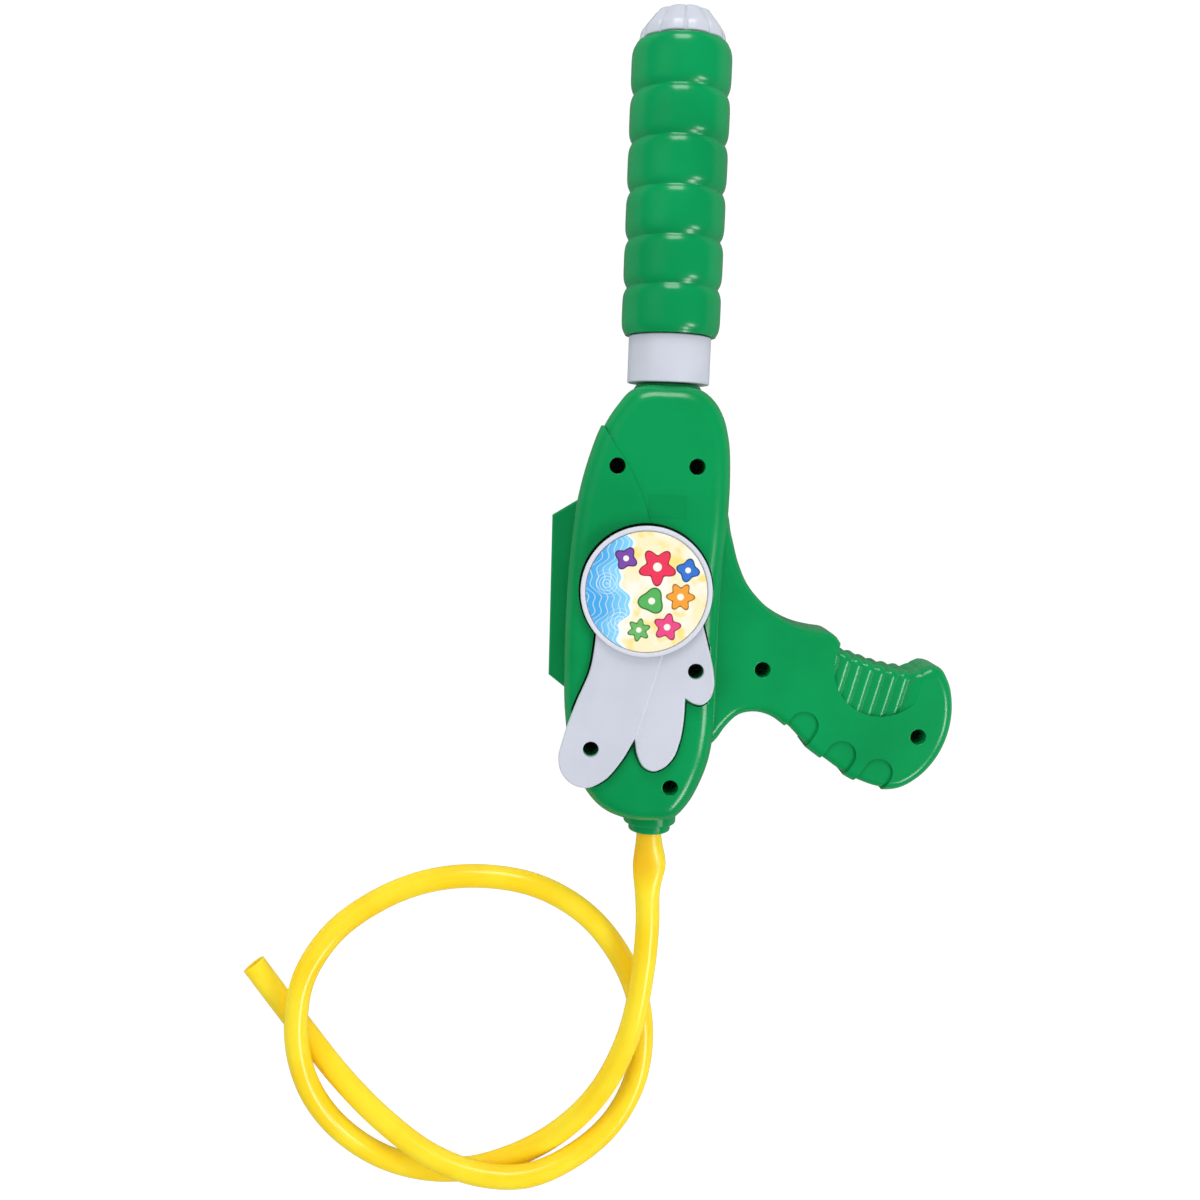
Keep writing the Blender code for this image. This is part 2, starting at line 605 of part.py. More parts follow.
# One screw, repeated
def screw_profile():
    head_low = screw_seat + FIT
    head_high = head_low + SCREW_HEAD_HEIGHT
    return [(0, head_high), (SCREW_HEAD - SCREW_HEAD_EDGE, head_high),
            (SCREW_HEAD, head_high - SCREW_HEAD_EDGE), (SCREW_HEAD, head_low),
            (SCREW_SHANK, head_low), (SCREW_SHANK, head_low - SCREW_LENGTH + SCREW_SHANK),
            (0, head_low - SCREW_LENGTH)]


for i, screw_place in enumerate(SCREW_PLACES, 1):
    turned("shell_screw_%d" % i, screw_profile(), STEEL, centre=at(screw_place), steps=FINE_TURN_STEPS)


# Wing plate, with a round seat for the badge, and the badge
plate_low = POD_HALF + FIT
plate_high = plate_low + PLATE_THICK
wing = plate("wing_plate", wing_loop, plate_low, plate_high, PLATE_EDGE, GREY,
             rounds=SMALL_FILLET_STEPS)
seat_disc = turned("badge_seat", rod_profile(
    BADGE_RADIUS - BADGE_OVERHANG, plate_low, plate_high), None,
    centre=at(BADGE_CENTRE), steps=BADGE_STEPS)
join(wing, seat_disc)
for i, peg_place in enumerate(PEG_PLACES):
    join(wing, turned("peg_%d" % i, rod_profile(
        PEG_RADIUS, peg_floor, plate_high - PLATE_EDGE), None,
        centre=at(peg_place), steps=FINE_TURN_STEPS))
for i, screw_place in enumerate(PLATE_SCREW_PLACES):
    cut(wing, turned("plate_hole_%d" % i, rod_profile(
        ACCESS_RADIUS, plate_low - 2 * FIT, plate_high + FIT), None,
        centre=at(screw_place), steps=FINE_TURN_STEPS))
line_start, line_end = (Vector(at(p)) for p in WING_LINE)
line_run = line_end - line_start
cut(wing, box("feather_line", (PLATE_LINE, line_run.length, 2 * PLATE_LINE_DEPTH),
              (*((line_start + line_end) / 2), plate_high),
              turn=-math.atan2(line_run.x, line_run.y)))

badge_low = plate_high + FIT
badge_high = badge_low + BADGE_THICK
recess = BADGE_RADIUS - BADGE_RIM
turned("badge_disc", [
    (0, badge_high - LABEL_RECESS), (recess, badge_high - LABEL_RECESS),
    (recess, badge_high - BADGE_BEVEL), (recess + BADGE_BEVEL, badge_high),
    (BADGE_RADIUS - BADGE_BEVEL, badge_high), (BADGE_RADIUS, badge_high - BADGE_BEVEL),
    (BADGE_RADIUS, badge_low), (0, badge_low)], WHITE, centre=at(BADGE_CENTRE), steps=BADGE_STEPS)
label_low = badge_high - LABEL_RECESS + FIT
turned("badge_label", rod_profile(recess - FIT, label_low, label_low + LABEL_THICK),
       PRINT, centre=at(BADGE_CENTRE), steps=BADGE_STEPS)


# Fixed rod with its flange, the piston, its O-ring and the inlet check valve
rod_front = PISTON_REAR + PISTON_SOCKET - FIT
turned("rod_tube", [
    (ROD_RADIUS, rod_front), (ROD_RADIUS, ROD_FLANGE_Y + FLANGE_LENGTH),
    (ROD_FLANGE, ROD_FLANGE_Y + FLANGE_LENGTH), (ROD_FLANGE, ROD_FLANGE_Y),
    (ROD_RADIUS, ROD_FLANGE_Y), (ROD_RADIUS, ROD_REAR),
    (ROD_BORE, ROD_REAR), (ROD_BORE, rod_front)], GREY, steps=ROD_STEPS)

land_radius = CYLINDER_BORE - SLIDE_FIT
groove_radius = land_radius - 2 * SEAL_RADIUS - FIT
groove_low = PISTON_REAR + PISTON_SOCKET + PISTON_LAND
groove_high = groove_low + 2 * SEAL_RADIUS + 2 * FIT
inlet_room = INLET_BALL + BALL_ROOM
inlet_seat = PISTON_REAR + PISTON_SOCKET + PORT_WALL
inlet_rise = math.sqrt(INLET_BALL ** 2 - INLET_PORT ** 2) + FIT
inlet_ball_y = inlet_seat + inlet_rise
cage_low = inlet_ball_y + INLET_BALL + INLET_TRAVEL + FIT
turned("piston_head", [
    (PISTON_HUB, PISTON_FRONT), (PISTON_HUB, groove_high + PISTON_LAND),
    (land_radius, groove_high + PISTON_LAND), (land_radius, groove_high),
    (groove_radius, groove_high), (groove_radius, groove_low),
    (land_radius, groove_low), (land_radius, groove_low - PISTON_LAND),
    (PISTON_HUB, groove_low - PISTON_LAND), (PISTON_HUB, PISTON_REAR),
    (ROD_RADIUS + FIT, PISTON_REAR), (ROD_RADIUS + FIT, PISTON_REAR + PISTON_SOCKET),
    (INLET_PORT, PISTON_REAR + PISTON_SOCKET), (INLET_PORT, inlet_seat),
    (inlet_room, inlet_seat), (inlet_room, PISTON_FRONT)], WHITE, steps=ROD_STEPS)


def ring_profile(centre_radius, section, station, count=6):
    return [(centre_radius + section * math.cos(-2 * math.pi * k / count),
             station + section * math.sin(-2 * math.pi * k / count)) for k in range(count)]


turned("piston_oring", ring_profile(land_radius - SEAL_RADIUS, SEAL_RADIUS,
                                    (groove_low + groove_high) / 2), RUBBER, steps=ROD_STEPS)


def ball(name, radius, station, frame):
    bm = bmesh.new()
    bmesh.ops.create_uvsphere(bm, u_segments=12, v_segments=8, radius=radius)
    mesh = bpy.data.meshes.new(name)
    bm.to_mesh(mesh)
    bm.free()
    thing = place(name, mesh, STEEL, frame)
    thing.location = (0, station, 0)
    return thing


ball("inlet_ball", INLET_BALL, inlet_ball_y, GUN)
cage_radius = inlet_room - FIT
cage = turned("inlet_cage", tube_profile(
    cage_radius, CAGE_BORE, cage_low, cage_low + CAGE_THICK), WHITE, steps=FINE_TURN_STEPS)
for i in range(2):
    slot_size = (CAGE_SLOT, 2 * CAGE_THICK, 2 * (cage_radius - CAGE_RIM))
    slot = box("inlet_slot_%d" % i, slot_size, (0, cage_low, 0))
    slot.rotation_euler = (0, i * math.pi / 2, 0)
    cut(cage, slot)


# Barb behind the rod: it joins the rod to the hose
stem_rear = OUTLET_END - BARB_REACH
barb_radius = HOSE_BORE - 2 * FIT
barb_profile = [
    (BARB_HUB, BARB_FRONT), (BARB_HUB, BARB_REAR),
    (BARB_FLANGE, BARB_REAR), (BARB_FLANGE, BARB_REAR - FLANGE_LENGTH),
    (STEM_RADIUS, BARB_REAR - FLANGE_LENGTH)]
for i in reversed(range(BARB_COUNT)):
    shoulder = stem_rear + (i + 1) * BARB_PITCH
    barb_profile += [(STEM_RADIUS, shoulder), (barb_radius, shoulder),
                     (STEM_RADIUS, shoulder - BARB_PITCH + BARB_NECK)]
barb_profile += [
    (STEM_RADIUS, stem_rear), (STEM_BORE, stem_rear), (STEM_BORE, ROD_REAR - FIT),
    (ROD_RADIUS + FIT, ROD_REAR - FIT), (ROD_RADIUS + FIT, BARB_FRONT)]
turned("hose_barb", barb_profile, WHITE, steps=ROD_STEPS)


# Pump: the cylinder, its collar and bush, and the ringed sleeve
ball_rise = math.sqrt(OUTLET_BALL ** 2 - OUTLET_PORT ** 2) + FIT
outlet_seat = CHAMBER_FRONT + PORT_WALL
outlet_ball_y = outlet_seat + ball_rise
outlet_room = OUTLET_BALL + BALL_ROOM
nose_rear = outlet_ball_y + OUTLET_BALL + OUTLET_TRAVEL + FIT
spigot_front = nose_rear + PORT_WALL
turned("pump_cylinder", [
    (SPIGOT_RADIUS, spigot_front), (SPIGOT_RADIUS, CYLINDER_FRONT),
    (CYLINDER_OUTER, CYLINDER_FRONT), (CYLINDER_OUTER, CYLINDER_REAR),
    (CYLINDER_BORE, CYLINDER_REAR), (CYLINDER_BORE, CHAMBER_FRONT),
    (OUTLET_PORT, CHAMBER_FRONT), (OUTLET_PORT, outlet_seat),
    (outlet_room, outlet_seat), (outlet_room, spigot_front)], WHITE, PUMP)

collar_radius = CYLINDER_OUTER + FIT + COLLAR_SKIRT
turned("cylinder_collar", [
    (collar_radius - COLLAR_BEVEL, COLLAR_REAR + COLLAR_LENGTH),
    (collar_radius, COLLAR_REAR + COLLAR_LENGTH - COLLAR_BEVEL),
    (collar_radius, COLLAR_REAR + COLLAR_BEVEL), (collar_radius - COLLAR_BEVEL, COLLAR_REAR),
    (ROD_RADIUS + SLIDE_FIT, COLLAR_REAR), (ROD_RADIUS + SLIDE_FIT, COLLAR_REAR + COLLAR_WALL),
    (CYLINDER_OUTER + FIT, COLLAR_REAR + COLLAR_WALL),
    (CYLINDER_OUTER + FIT, COLLAR_REAR + COLLAR_LENGTH)], GREY, PUMP)

turned("rod_bush", tube_profile(
    CYLINDER_BORE - FIT, ROD_RADIUS + SLIDE_FIT, CYLINDER_REAR, BUSH_FRONT),
    WHITE, PUMP, steps=ROD_STEPS)


def sleeve_profile():
    inner = RING_RADIUS - RING_DEPTH - SLEEVE_WALL
    lip = CYLINDER_OUTER + FIT
    outer = [(RING_RADIUS - RING_DEPTH, SLEEVE_FRONT)]
    for i in reversed(range(RING_COUNT)):
        for share in reversed(RING_SHAPE):
            fall = RING_DEPTH * abs(2 * share - 1) ** RING_POWER
            outer.append((RING_RADIUS - fall, SLEEVE_REAR + (i + share) * RING_PITCH))
    return outer + [
        (lip, SLEEVE_REAR), (lip, SLEEVE_REAR + SLEEVE_LIP), (inner, SLEEVE_REAR + SLEEVE_LIP),
        (inner, SLEEVE_FRONT - SLEEVE_LIP), (lip, SLEEVE_FRONT - SLEEVE_LIP), (lip, SLEEVE_FRONT)]


turned("pump_grip", sleeve_profile(), GREEN, PUMP)


# Nozzle: the outlet ball, the gasket, the tip and the petalled cap
ball("outlet_ball", OUTLET_BALL, outlet_ball_y, PUMP)
tip_flange_rear = spigot_front + FIT + GASKET_THICK + FIT
tip_flange_front = tip_flange_rear + TIP_FLANGE
cap_front = tip_flange_front + FIT + CAP_FACE
cap_radius = CYLINDER_OUTER + FIT + CAP_WALL
flange_radius = SPIGOT_RADIUS - FIT
turned("nozzle_gasket", tube_profile(
    flange_radius, GASKET_BORE, spigot_front + FIT, spigot_front + FIT + GASKET_THICK),
    RUBBER, PUMP, steps=ROD_STEPS)

tip_front = cap_front + TIP_PROUD
nose_radius = outlet_room - FIT
tip = turned("nozzle_tip", [
    (TIP_RADIUS - TIP_PROUD, tip_front), (TIP_RADIUS, tip_front - TIP_PROUD),
    (TIP_RADIUS, tip_flange_front), (flange_radius, tip_flange_front),
    (flange_radius, tip_flange_rear), (nose_radius, tip_flange_rear),
    (nose_radius, nose_rear), (TIP_BORE, nose_rear),
    (TIP_BORE, tip_front - TIP_ORIFICE_LENGTH), (TIP_ORIFICE, tip_front - TIP_ORIFICE_LENGTH),
    (TIP_ORIFICE, tip_front)], WHITE, PUMP, steps=ROD_STEPS)
for i in range(2):
    slot = box("tip_slot_%d" % i, (CAGE_SLOT, PORT_WALL, 3 * nose_radius), (0, nose_rear, 0))
    slot.rotation_euler = (0, i * math.pi / 2, 0)
    cut(tip, slot)


def petal_profile(depth):
    """The crown's outside, from its front face to its lip, drawn in by a depth."""
    base = cap_radius - CAP_STEP
    rise = cap_front - CAP_REAR - CAP_LIP
    points = []
    for share, narrowing in CROWN_SHAPE:
        radius = base - (base - CAP_FRONT) * narrowing
        points.append((radius - depth, CAP_REAR + CAP_LIP + rise * share))
    return points


cap = turned("nozzle_cap", petal_profile(0) + [
    (cap_radius, CAP_REAR + CAP_LIP), (cap_radius, CAP_REAR),
    (CYLINDER_OUTER + FIT, CAP_REAR), (CYLINDER_OUTER + FIT, CYLINDER_FRONT + FIT),
    (SPIGOT_RADIUS + FIT, CYLINDER_FRONT + FIT), (SPIGOT_RADIUS + FIT, tip_flange_front + FIT),
    (TIP_RADIUS + FIT, tip_flange_front + FIT), (TIP_RADIUS + FIT, cap_front)],
    GREY, PUMP, steps=CAP_STEPS)
petals = []
crown_height = cap_front - CAP_REAR - CAP_LIP
for i in range(PETAL_COUNT // 2):
    petals.append(box("petal_%d" % i, (4 * cap_radius, 2 * crown_height, PETAL_GROOVE),
                      (0, cap_front, 0), frame=PUMP))
    petals[-1].rotation_euler = (0, (i + 0.5) * 2 * math.pi / PETAL_COUNT, 0)
petal_cutter = group("petal_grooves", petals)
cut(petal_cutter, turned(
    "petal_core",
    [(0, cap_front + 2 * crown_height), (CAP_FRONT - PETAL_DEPTH, cap_front + 2 * crown_height)]
    + petal_profile(PETAL_DEPTH) + [(0, CAP_REAR + CAP_LIP)], None, PUMP, steps=CAP_STEPS))
cut(cap, petal_cutter)


# Hose: a tube along its route, with its bore cut out
def hose_tube(name, radius, route, material, resolution):
    curve = bpy.data.curves.new(name, "CURVE")
    curve.dimensions = "3D"
    curve.bevel_depth = radius
    curve.bevel_resolution = resolution
    curve.use_fill_caps = True
    run = curve.splines.new("POLY")
    run.points.add(len(route) - 1)
    for point, spot in zip(run.points, route):
        point.co = (*spot, 1)
    guide = bpy.data.objects.new(name + "_curve", curve)
    cutters.objects.link(guide)
    bpy.context.view_layer.update()
    mesh = bpy.data.meshes.new_from_object(guide.evaluated_get(bpy.context.evaluated_depsgraph_get()))
    bpy.data.objects.remove(guide)
    bm = bmesh.new()
    bm.from_mesh(mesh)
    bmesh.ops.remove_doubles(bm, verts=bm.verts, dist=0.00001)
    bm.to_mesh(mesh)
    bm.free()
    thing = place(name, mesh, material)
    thing.location = (0, 0, -AXIS_HEIGHT)
    return thing


route = spline([Vector(p) * MM for p in HOSE_ROUTE], False, HOSE_STEP)
hose = hose_tube("hose", HOSE_RADIUS, route, YELLOW, 2)
bore_route = [route[0] * 2 - route[1]] + route[1:-1] + [route[-1] * 2 - route[-2]]
cut(hose, hose_tube("hose_bore", HOSE_BORE, bore_route, None, 1))

for thing in part.objects:
    if thing.type == "MESH":
        thing.data.shade_smooth()
        thing.data.set_sharp_from_angle(angle=math.radians(35))
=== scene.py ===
# A toy water squirter lying on its side: its shells, pump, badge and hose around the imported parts.
# Metres, +Z up. +Y runs along the pump to the nozzle, +X to the grip.
import math

import bmesh
import bpy
from mathutils import Matrix, Vector


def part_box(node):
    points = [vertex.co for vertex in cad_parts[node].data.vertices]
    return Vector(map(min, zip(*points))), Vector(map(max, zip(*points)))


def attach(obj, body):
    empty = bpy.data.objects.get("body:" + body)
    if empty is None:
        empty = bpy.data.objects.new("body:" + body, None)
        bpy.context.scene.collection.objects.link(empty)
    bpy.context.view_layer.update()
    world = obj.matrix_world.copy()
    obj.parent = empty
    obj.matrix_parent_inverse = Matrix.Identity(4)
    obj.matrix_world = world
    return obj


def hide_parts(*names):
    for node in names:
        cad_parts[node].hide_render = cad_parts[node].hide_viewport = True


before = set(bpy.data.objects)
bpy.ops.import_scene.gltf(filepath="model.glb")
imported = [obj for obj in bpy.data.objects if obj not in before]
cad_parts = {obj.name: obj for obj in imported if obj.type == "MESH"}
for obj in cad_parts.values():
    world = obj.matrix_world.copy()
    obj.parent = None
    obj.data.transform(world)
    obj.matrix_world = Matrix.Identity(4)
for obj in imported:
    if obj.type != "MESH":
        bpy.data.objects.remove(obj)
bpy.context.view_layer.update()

print("frame loaded:", len(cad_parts), "nodes")

mm = 0.001
fit = 0.3 * mm                      # gap between pieces that touch
hair = 0.02 * mm                    # keeps two flat faces off one plane
tiny = 0.001 * mm                   # points nearer than this are one

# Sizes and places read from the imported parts
sleeveLow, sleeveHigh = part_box("pump_grip")
collarLow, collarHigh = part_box("cylinder_collar")
capLow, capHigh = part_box("nozzle_cap")
tipLow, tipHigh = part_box("nozzle_tip")
rodLow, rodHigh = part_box("rod_tube")
shellLow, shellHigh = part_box("near_shell")
badgeLow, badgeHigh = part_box("badge_disc")
axisHeight = (sleeveLow.z + sleeveHigh.z) / 2
ringRadius = sleeveHigh.x
neckEnd = shellHigh.y
outletEnd = shellLow.y
badgeRadius = (badgeHigh.x - badgeLow.x) / 2
badgeCentre = ((badgeLow.x + badgeHigh.x) / 2, (badgeLow.y + badgeHigh.y) / 2)


# Outlines
def smoothRun(points, closed, step):
    # points along a smooth curve through the given ones, about a step apart
    points = [Vector(p) * mm for p in points]
    count = len(points)

    def slopeAt(i):
        if not closed and i == 0:
            return (points[1] - points[0]).normalized()
        if not closed and i == count - 1:
            return (points[-1] - points[-2]).normalized()
        before, here, after = points[i - 1], points[i], points[(i + 1) % count]
        a, b = (here - before).length, (after - here).length
        return ((here - before) / a * b + (after - here) / b * a) / (a + b)

    run = []
    for i in range(count if closed else count - 1):
        start, end = points[i], points[(i + 1) % count]
        span = (end - start).length
        leave, arrive = slopeAt(i) * span, slopeAt((i + 1) % count) * span
        steps = max(1, round(span / step))
        for k in range(steps):
            t = k / steps
            run.append(start * (2 * t ** 3 - 3 * t ** 2 + 1) + leave * (t ** 3 - 2 * t ** 2 + t)
                       + end * (3 * t ** 2 - 2 * t ** 3) + arrive * (t ** 3 - t ** 2))
    return run if closed else run + [points[-1]]


def smoothLoop(outline, step):
    # one smooth loop, or smooth runs that meet in corners
    if not isinstance(outline[0][0], tuple):
        return smoothRun(outline, True, step)
    loop = []
    for run in outline:
        loop += smoothRun(run, False, step)[:-1]
    return loop


def insetLoop(loop, distance):
    # every side moved inwards by the distance, or outwards by a negative one
    area = sum(a.cross(b) for a, b in zip(loop, loop[1:] + loop[:1]))
    side = 1 if area > 0 else -1
    moved = []
    for i, here in enumerate(loop):
        before = (here - loop[i - 1]).normalized()
        after = (loop[(i + 1) % len(loop)] - here).normalized()
        mean = (before + after).normalized()
        normal = Vector((-mean.y, mean.x)) * side
        sharpness = max(mean.dot(after), 0.5)       # a limit that blunts sharp corners
        moved.append(here + normal * distance / sharpness)
    return moved


def roundedCorner(radius, station, size, turnIn, turnOn, steps=4):
    # profile points round a corner at (radius, station); the two turns are signs of its sides
    centre = (radius + turnIn * size, station + turnOn * size)
    points = []
    for k in range(steps + 1):
        angle = math.pi / 2 * k / steps
        points.append((centre[0] - turnIn * size * math.sin(angle),
                       centre[1] - turnOn * size * math.cos(angle)))
    return points


# Mesh building
def slab(loop, low, high, edge=0.0, segments=8, into=None):
    # a flat outline pulled up from low to high, with both rims rounded
    bm = into or bmesh.new()
    face = bm.faces.new([bm.verts.new((p.x, p.y, low)) for p in loop])
    pulled = bmesh.ops.extrude_face_region(bm, geom=[face])["geom"]
    top = [v for v in pulled if isinstance(v, bmesh.types.BMVert)]
    bmesh.ops.translate(bm, vec=(0, 0, high - low), verts=top)
    bmesh.ops.recalc_face_normals(bm, faces=bm.faces)
    if edge:
        rims = [e for e in bm.edges if abs(e.verts[0].co.z - e.verts[1].co.z) < hair]
        bmesh.ops.bevel(bm, geom=rims, offset=edge, offset_type="OFFSET", segments=segments,
                        profile=0.5, affect="EDGES", clamp_overlap=False, material=-1)
    return bm


def lathe(profile, steps, upright=None, into=None):
    # (radius, station) points turned about the pump's axis, or upright about a centre
    bm = into or bmesh.new()
    if upright is None:
        points = [bm.verts.new((radius, station, 0)) for radius, station in profile]
        centre, axis = (0, 0, 0), (0, 1, 0)
    else:
        x, y = upright
        points = [bm.verts.new((x + radius, y, station)) for radius, station in profile]
        centre, axis = (x, y, 0), (0, 0, 1)
    onAxis = profile[0][0] == 0 and profile[-1][0] == 0
    following = points[1:] + ([] if onAxis else points[:1])
    edges = [bm.edges.new((a, b)) for a, b in zip(points, following)]
    bmesh.ops.spin(bm, geom=points + edges, cent=centre, axis=axis, dvec=(0, 0, 0),
                   angle=2 * math.pi, steps=steps, use_merge=True, use_duplicate=False)
    bmesh.ops.remove_doubles(bm, verts=bm.verts, dist=2 * tiny)
    bmesh.ops.recalc_face_normals(bm, faces=bm.faces)
    return bm


def cylinder(radius, low, high, steps, upright=None, into=None):
    return lathe([(0, high), (radius, high), (radius, low), (0, low)], steps, upright, into)


def block(size, centre, turn=0.0, into=None):
    bm = into or bmesh.new()
    verts = bmesh.ops.create_cube(bm, size=1)["verts"]
    bmesh.ops.scale(bm, vec=size, verts=verts)
    bmesh.ops.rotate(bm, cent=(0, 0, 0), matrix=Matrix.Rotation(turn, 3, "Z"), verts=verts)
    bmesh.ops.translate(bm, vec=centre, verts=verts)
    return bm


def addObject(name, data):
    thing = bpy.data.objects.new(name, data)
    bpy.context.scene.collection.objects.link(thing)
    return thing


def asObject(name, bm):
    mesh = bpy.data.meshes.new(name)
    bm.to_mesh(mesh)
    bm.free()
    return addObject(name, mesh)


def discard(thing):
    mesh = thing.data
    bpy.data.objects.remove(thing)
    bpy.data.meshes.remove(mesh)


def finishedMesh(thing):
    # the mesh that a curve or an object's modifiers make
    bpy.context.view_layer.update()
    depsgraph = bpy.context.evaluated_depsgraph_get()
    return bpy.data.meshes.new_from_object(thing.evaluated_get(depsgraph))


def settle(thing):
    # applies the modifiers
    mesh = finishedMesh(thing)
    old = thing.data
    thing.modifiers.clear()
    thing.data = mesh
    bpy.data.meshes.remove(old)
    mesh.name = thing.name
    return thing


def combine(thing, operation, *others):
    # others are bmeshes or helper objects, used up here
    helpers = [o if isinstance(o, bpy.types.Object) else asObject("helper", o) for o in others]
    for helper in helpers:
        step = thing.modifiers.new("cut", "BOOLEAN")
        step.operation = operation
        step.solver = "EXACT"
        step.object = helper
    settle(thing)
    for helper in helpers:
        discard(helper)
    return thing


def dress(thing, material, body, replaced, lift=True, sharp=35):
    # lifts a finished piece to the axis, shades it and puts it on its body
    if lift:
        thing.data.transform(Matrix.Translation((0, 0, axisHeight)))
    thing.data.materials.clear()
    thing.data.materials.append(material)
    thing.data.shade_smooth()
    thing.data.set_sharp_from_angle(angle=math.radians(sharp))
    flat = thing.modifiers.new("flatFacesStayFlat", "WEIGHTED_NORMAL")
    flat.keep_sharp = True
    flat.weight = 60                # wide faces count for more than narrow ones
    settle(thing)
    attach(thing, body)
    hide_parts(*replaced)
    print("made", thing.name, len(thing.data.polygons), "faces")
    return thing


# Shader nodes
def newMaterial(name):
    # the material, its node tree and its Principled shader
    material = bpy.data.materials.new(name)
    material.use_nodes = True
    tree = material.node_tree
    return material, tree, tree.nodes["Principled BSDF"]


def objectPlace(tree):
    return tree.nodes.new("ShaderNodeTexCoord").outputs["Object"]


def axesOf(tree, vector):
    split = tree.nodes.new("ShaderNodeSeparateXYZ")
    tree.links.new(vector, split.inputs[0])
    return split.outputs


def calc(tree, operation, *values):
    node = tree.nodes.new("ShaderNodeMath")
    node.operation = operation
    for socket, value in zip(node.inputs, values):
        if isinstance(value, (int, float)):
            socket.default_value = value
        else:
            tree.links.new(value, socket)
    return node.outputs[0]


def reachOf(tree, across, along):
    squares = [calc(tree, "MULTIPLY", side, side) for side in (across, along)]
    return calc(tree, "SQRT", calc(tree, "ADD", *squares))


def wave(tree, value, pitch):
    return calc(tree, "SINE", calc(tree, "MULTIPLY", value, pitch))


def fade(tree, value, start, end, low=0.0, high=1.0):
    # value between start and end becomes low to high, softly
    node = tree.nodes.new("ShaderNodeMapRange")
    node.interpolation_type = "SMOOTHSTEP"
    tree.links.new(value, node.inputs["Value"])
    node.inputs["From Min"].default_value = start
    node.inputs["From Max"].default_value = end
    node.inputs["To Min"].default_value = low
    node.inputs["To Max"].default_value = high
    return node.outputs["Result"]


def within(tree, value, edge):
    # 1 where value is below nought and 0 where it is above, with a soft edge
    return fade(tree, value, -edge, edge, 1.0, 0.0)


def mixColors(tree, factor, first, second):
    node = tree.nodes.new("ShaderNodeMix")
    node.data_type = "RGBA"
    tree.links.new(factor, node.inputs["Factor"])
    for socket, value in ((node.inputs[6], first), (node.inputs[7], second)):
        if isinstance(value, tuple):
            socket.default_value = (*value, 1)
        else:
            tree.links.new(value, socket)
    return node.outputs[2]


def noise(tree, coordinates, scale, detail=2.0):
    node = tree.nodes.new("ShaderNodeTexNoise")
    node.inputs["Scale"].default_value = scale
    node.inputs["Detail"].default_value = detail
    tree.links.new(coordinates, node.inputs["Vector"])
    return node.outputs["Fac"]


# What injection moulding leaves on a surface: slow flow mottling, fine grain, a few scuffs
mouldingSetup = {
    "scales": {"flowScale": 25.0, "grainScale": 900.0, "scuffScale": 60.0},
    "detail": 3.0,
    "scuffStretch": (1.0, 0.12, 1.0),
    "scuffTurn": (0.3, 0.2, 0.6),
    "scuffSpan": (0.66, 0.74),      # the part of the noise that shows as scuffs
    "mottleSpan": (0.35, 0.65),
    "grainSpan": (0.3, 0.7),
}


def makeMouldedGroup(setup):
    group = bpy.data.node_groups.new("mouldedSurface", "ShaderNodeTree")
    for name, value in setup["scales"].items():
        socket = group.interface.new_socket(name, in_out="INPUT", socket_type="NodeSocketFloat")
        socket.default_value = value
    for name in ("mottle", "grain", "scuff"):
        group.interface.new_socket(name, in_out="OUTPUT", socket_type="NodeSocketFloat")
    given = group.nodes.new("NodeGroupInput")
    result = group.nodes.new("NodeGroupOutput")
    place = objectPlace(group)
    stretched = group.nodes.new("ShaderNodeMapping")
    stretched.inputs["Scale"].default_value = setup["scuffStretch"]
    stretched.inputs["Rotation"].default_value = setup["scuffTurn"]
    group.links.new(place, stretched.inputs["Vector"])
    for name, where in (("flow", place), ("grain", place), ("scuff", stretched.outputs["Vector"])):
        node = group.nodes.new("ShaderNodeTexNoise")
        node.inputs["Detail"].default_value = setup["detail"]
        group.links.new(where, node.inputs["Vector"])
        group.links.new(given.outputs[name + "Scale"], node.inputs["Scale"])
        value = node.outputs["Fac"]
        if name == "scuff":
            value = fade(group, value, *setup["scuffSpan"])
        group.links.new(value, result.inputs["mottle" if name == "flow" else name])
    return group


mouldedSurface = makeMouldedGroup(mouldingSetup)


def addSurface(tree, finish):
    surface = tree.nodes.new("ShaderNodeGroup")
    surface.node_tree = mouldedSurface
    for key in mouldingSetup["scales"]:
        surface.inputs[key].default_value = finish[key]
    return surface.outputs


def grainRough(tree, surface, finish):
    return fade(tree, surface["grain"], *mouldingSetup["grainSpan"], finish["roughLow"],
                finish["roughHigh"])


def mouldedPlastic(name, light, dark, finish, extra=None):
    # glossy moulded plastic; extra may change its colour from object coordinates
    material, tree, shader = newMaterial(name)
    surface = addSurface(tree, finish)
    mottle = fade(tree, surface["mottle"], *mouldingSetup["mottleSpan"])
    color = mixColors(tree, mottle, dark, light)
    height = calc(tree, "ADD", calc(tree, "MULTIPLY", surface["grain"], finish["grainHeight"]),
                  calc(tree, "MULTIPLY", surface["mottle"], finish["flowHeight"]))
    if extra:
        color = extra(tree, color)
    rough = calc(tree, "ADD", grainRough(tree, surface, finish),
                 calc(tree, "MULTIPLY", surface["scuff"], finish["scuffRough"]))
    bump = tree.nodes.new("ShaderNodeBump")
    bump.inputs["Strength"].default_value = 1.0
    bump.inputs["Distance"].default_value = finish["bump"]
    tree.links.new(height, bump.inputs["Height"])
    tree.links.new(color, shader.inputs["Base Color"])
    tree.links.new(rough, shader.inputs["Roughness"])
    tree.links.new(bump.outputs["Normal"], shader.inputs["Normal"])
    shader.inputs["IOR"].default_value = finish["ior"]
    shader.inputs["Subsurface Weight"].default_value = finish["glow"]
    shader.inputs["Subsurface Radius"].default_value = finish["glowRadius"]
    shader.inputs["Subsurface Scale"].default_value = 1.0
    return material


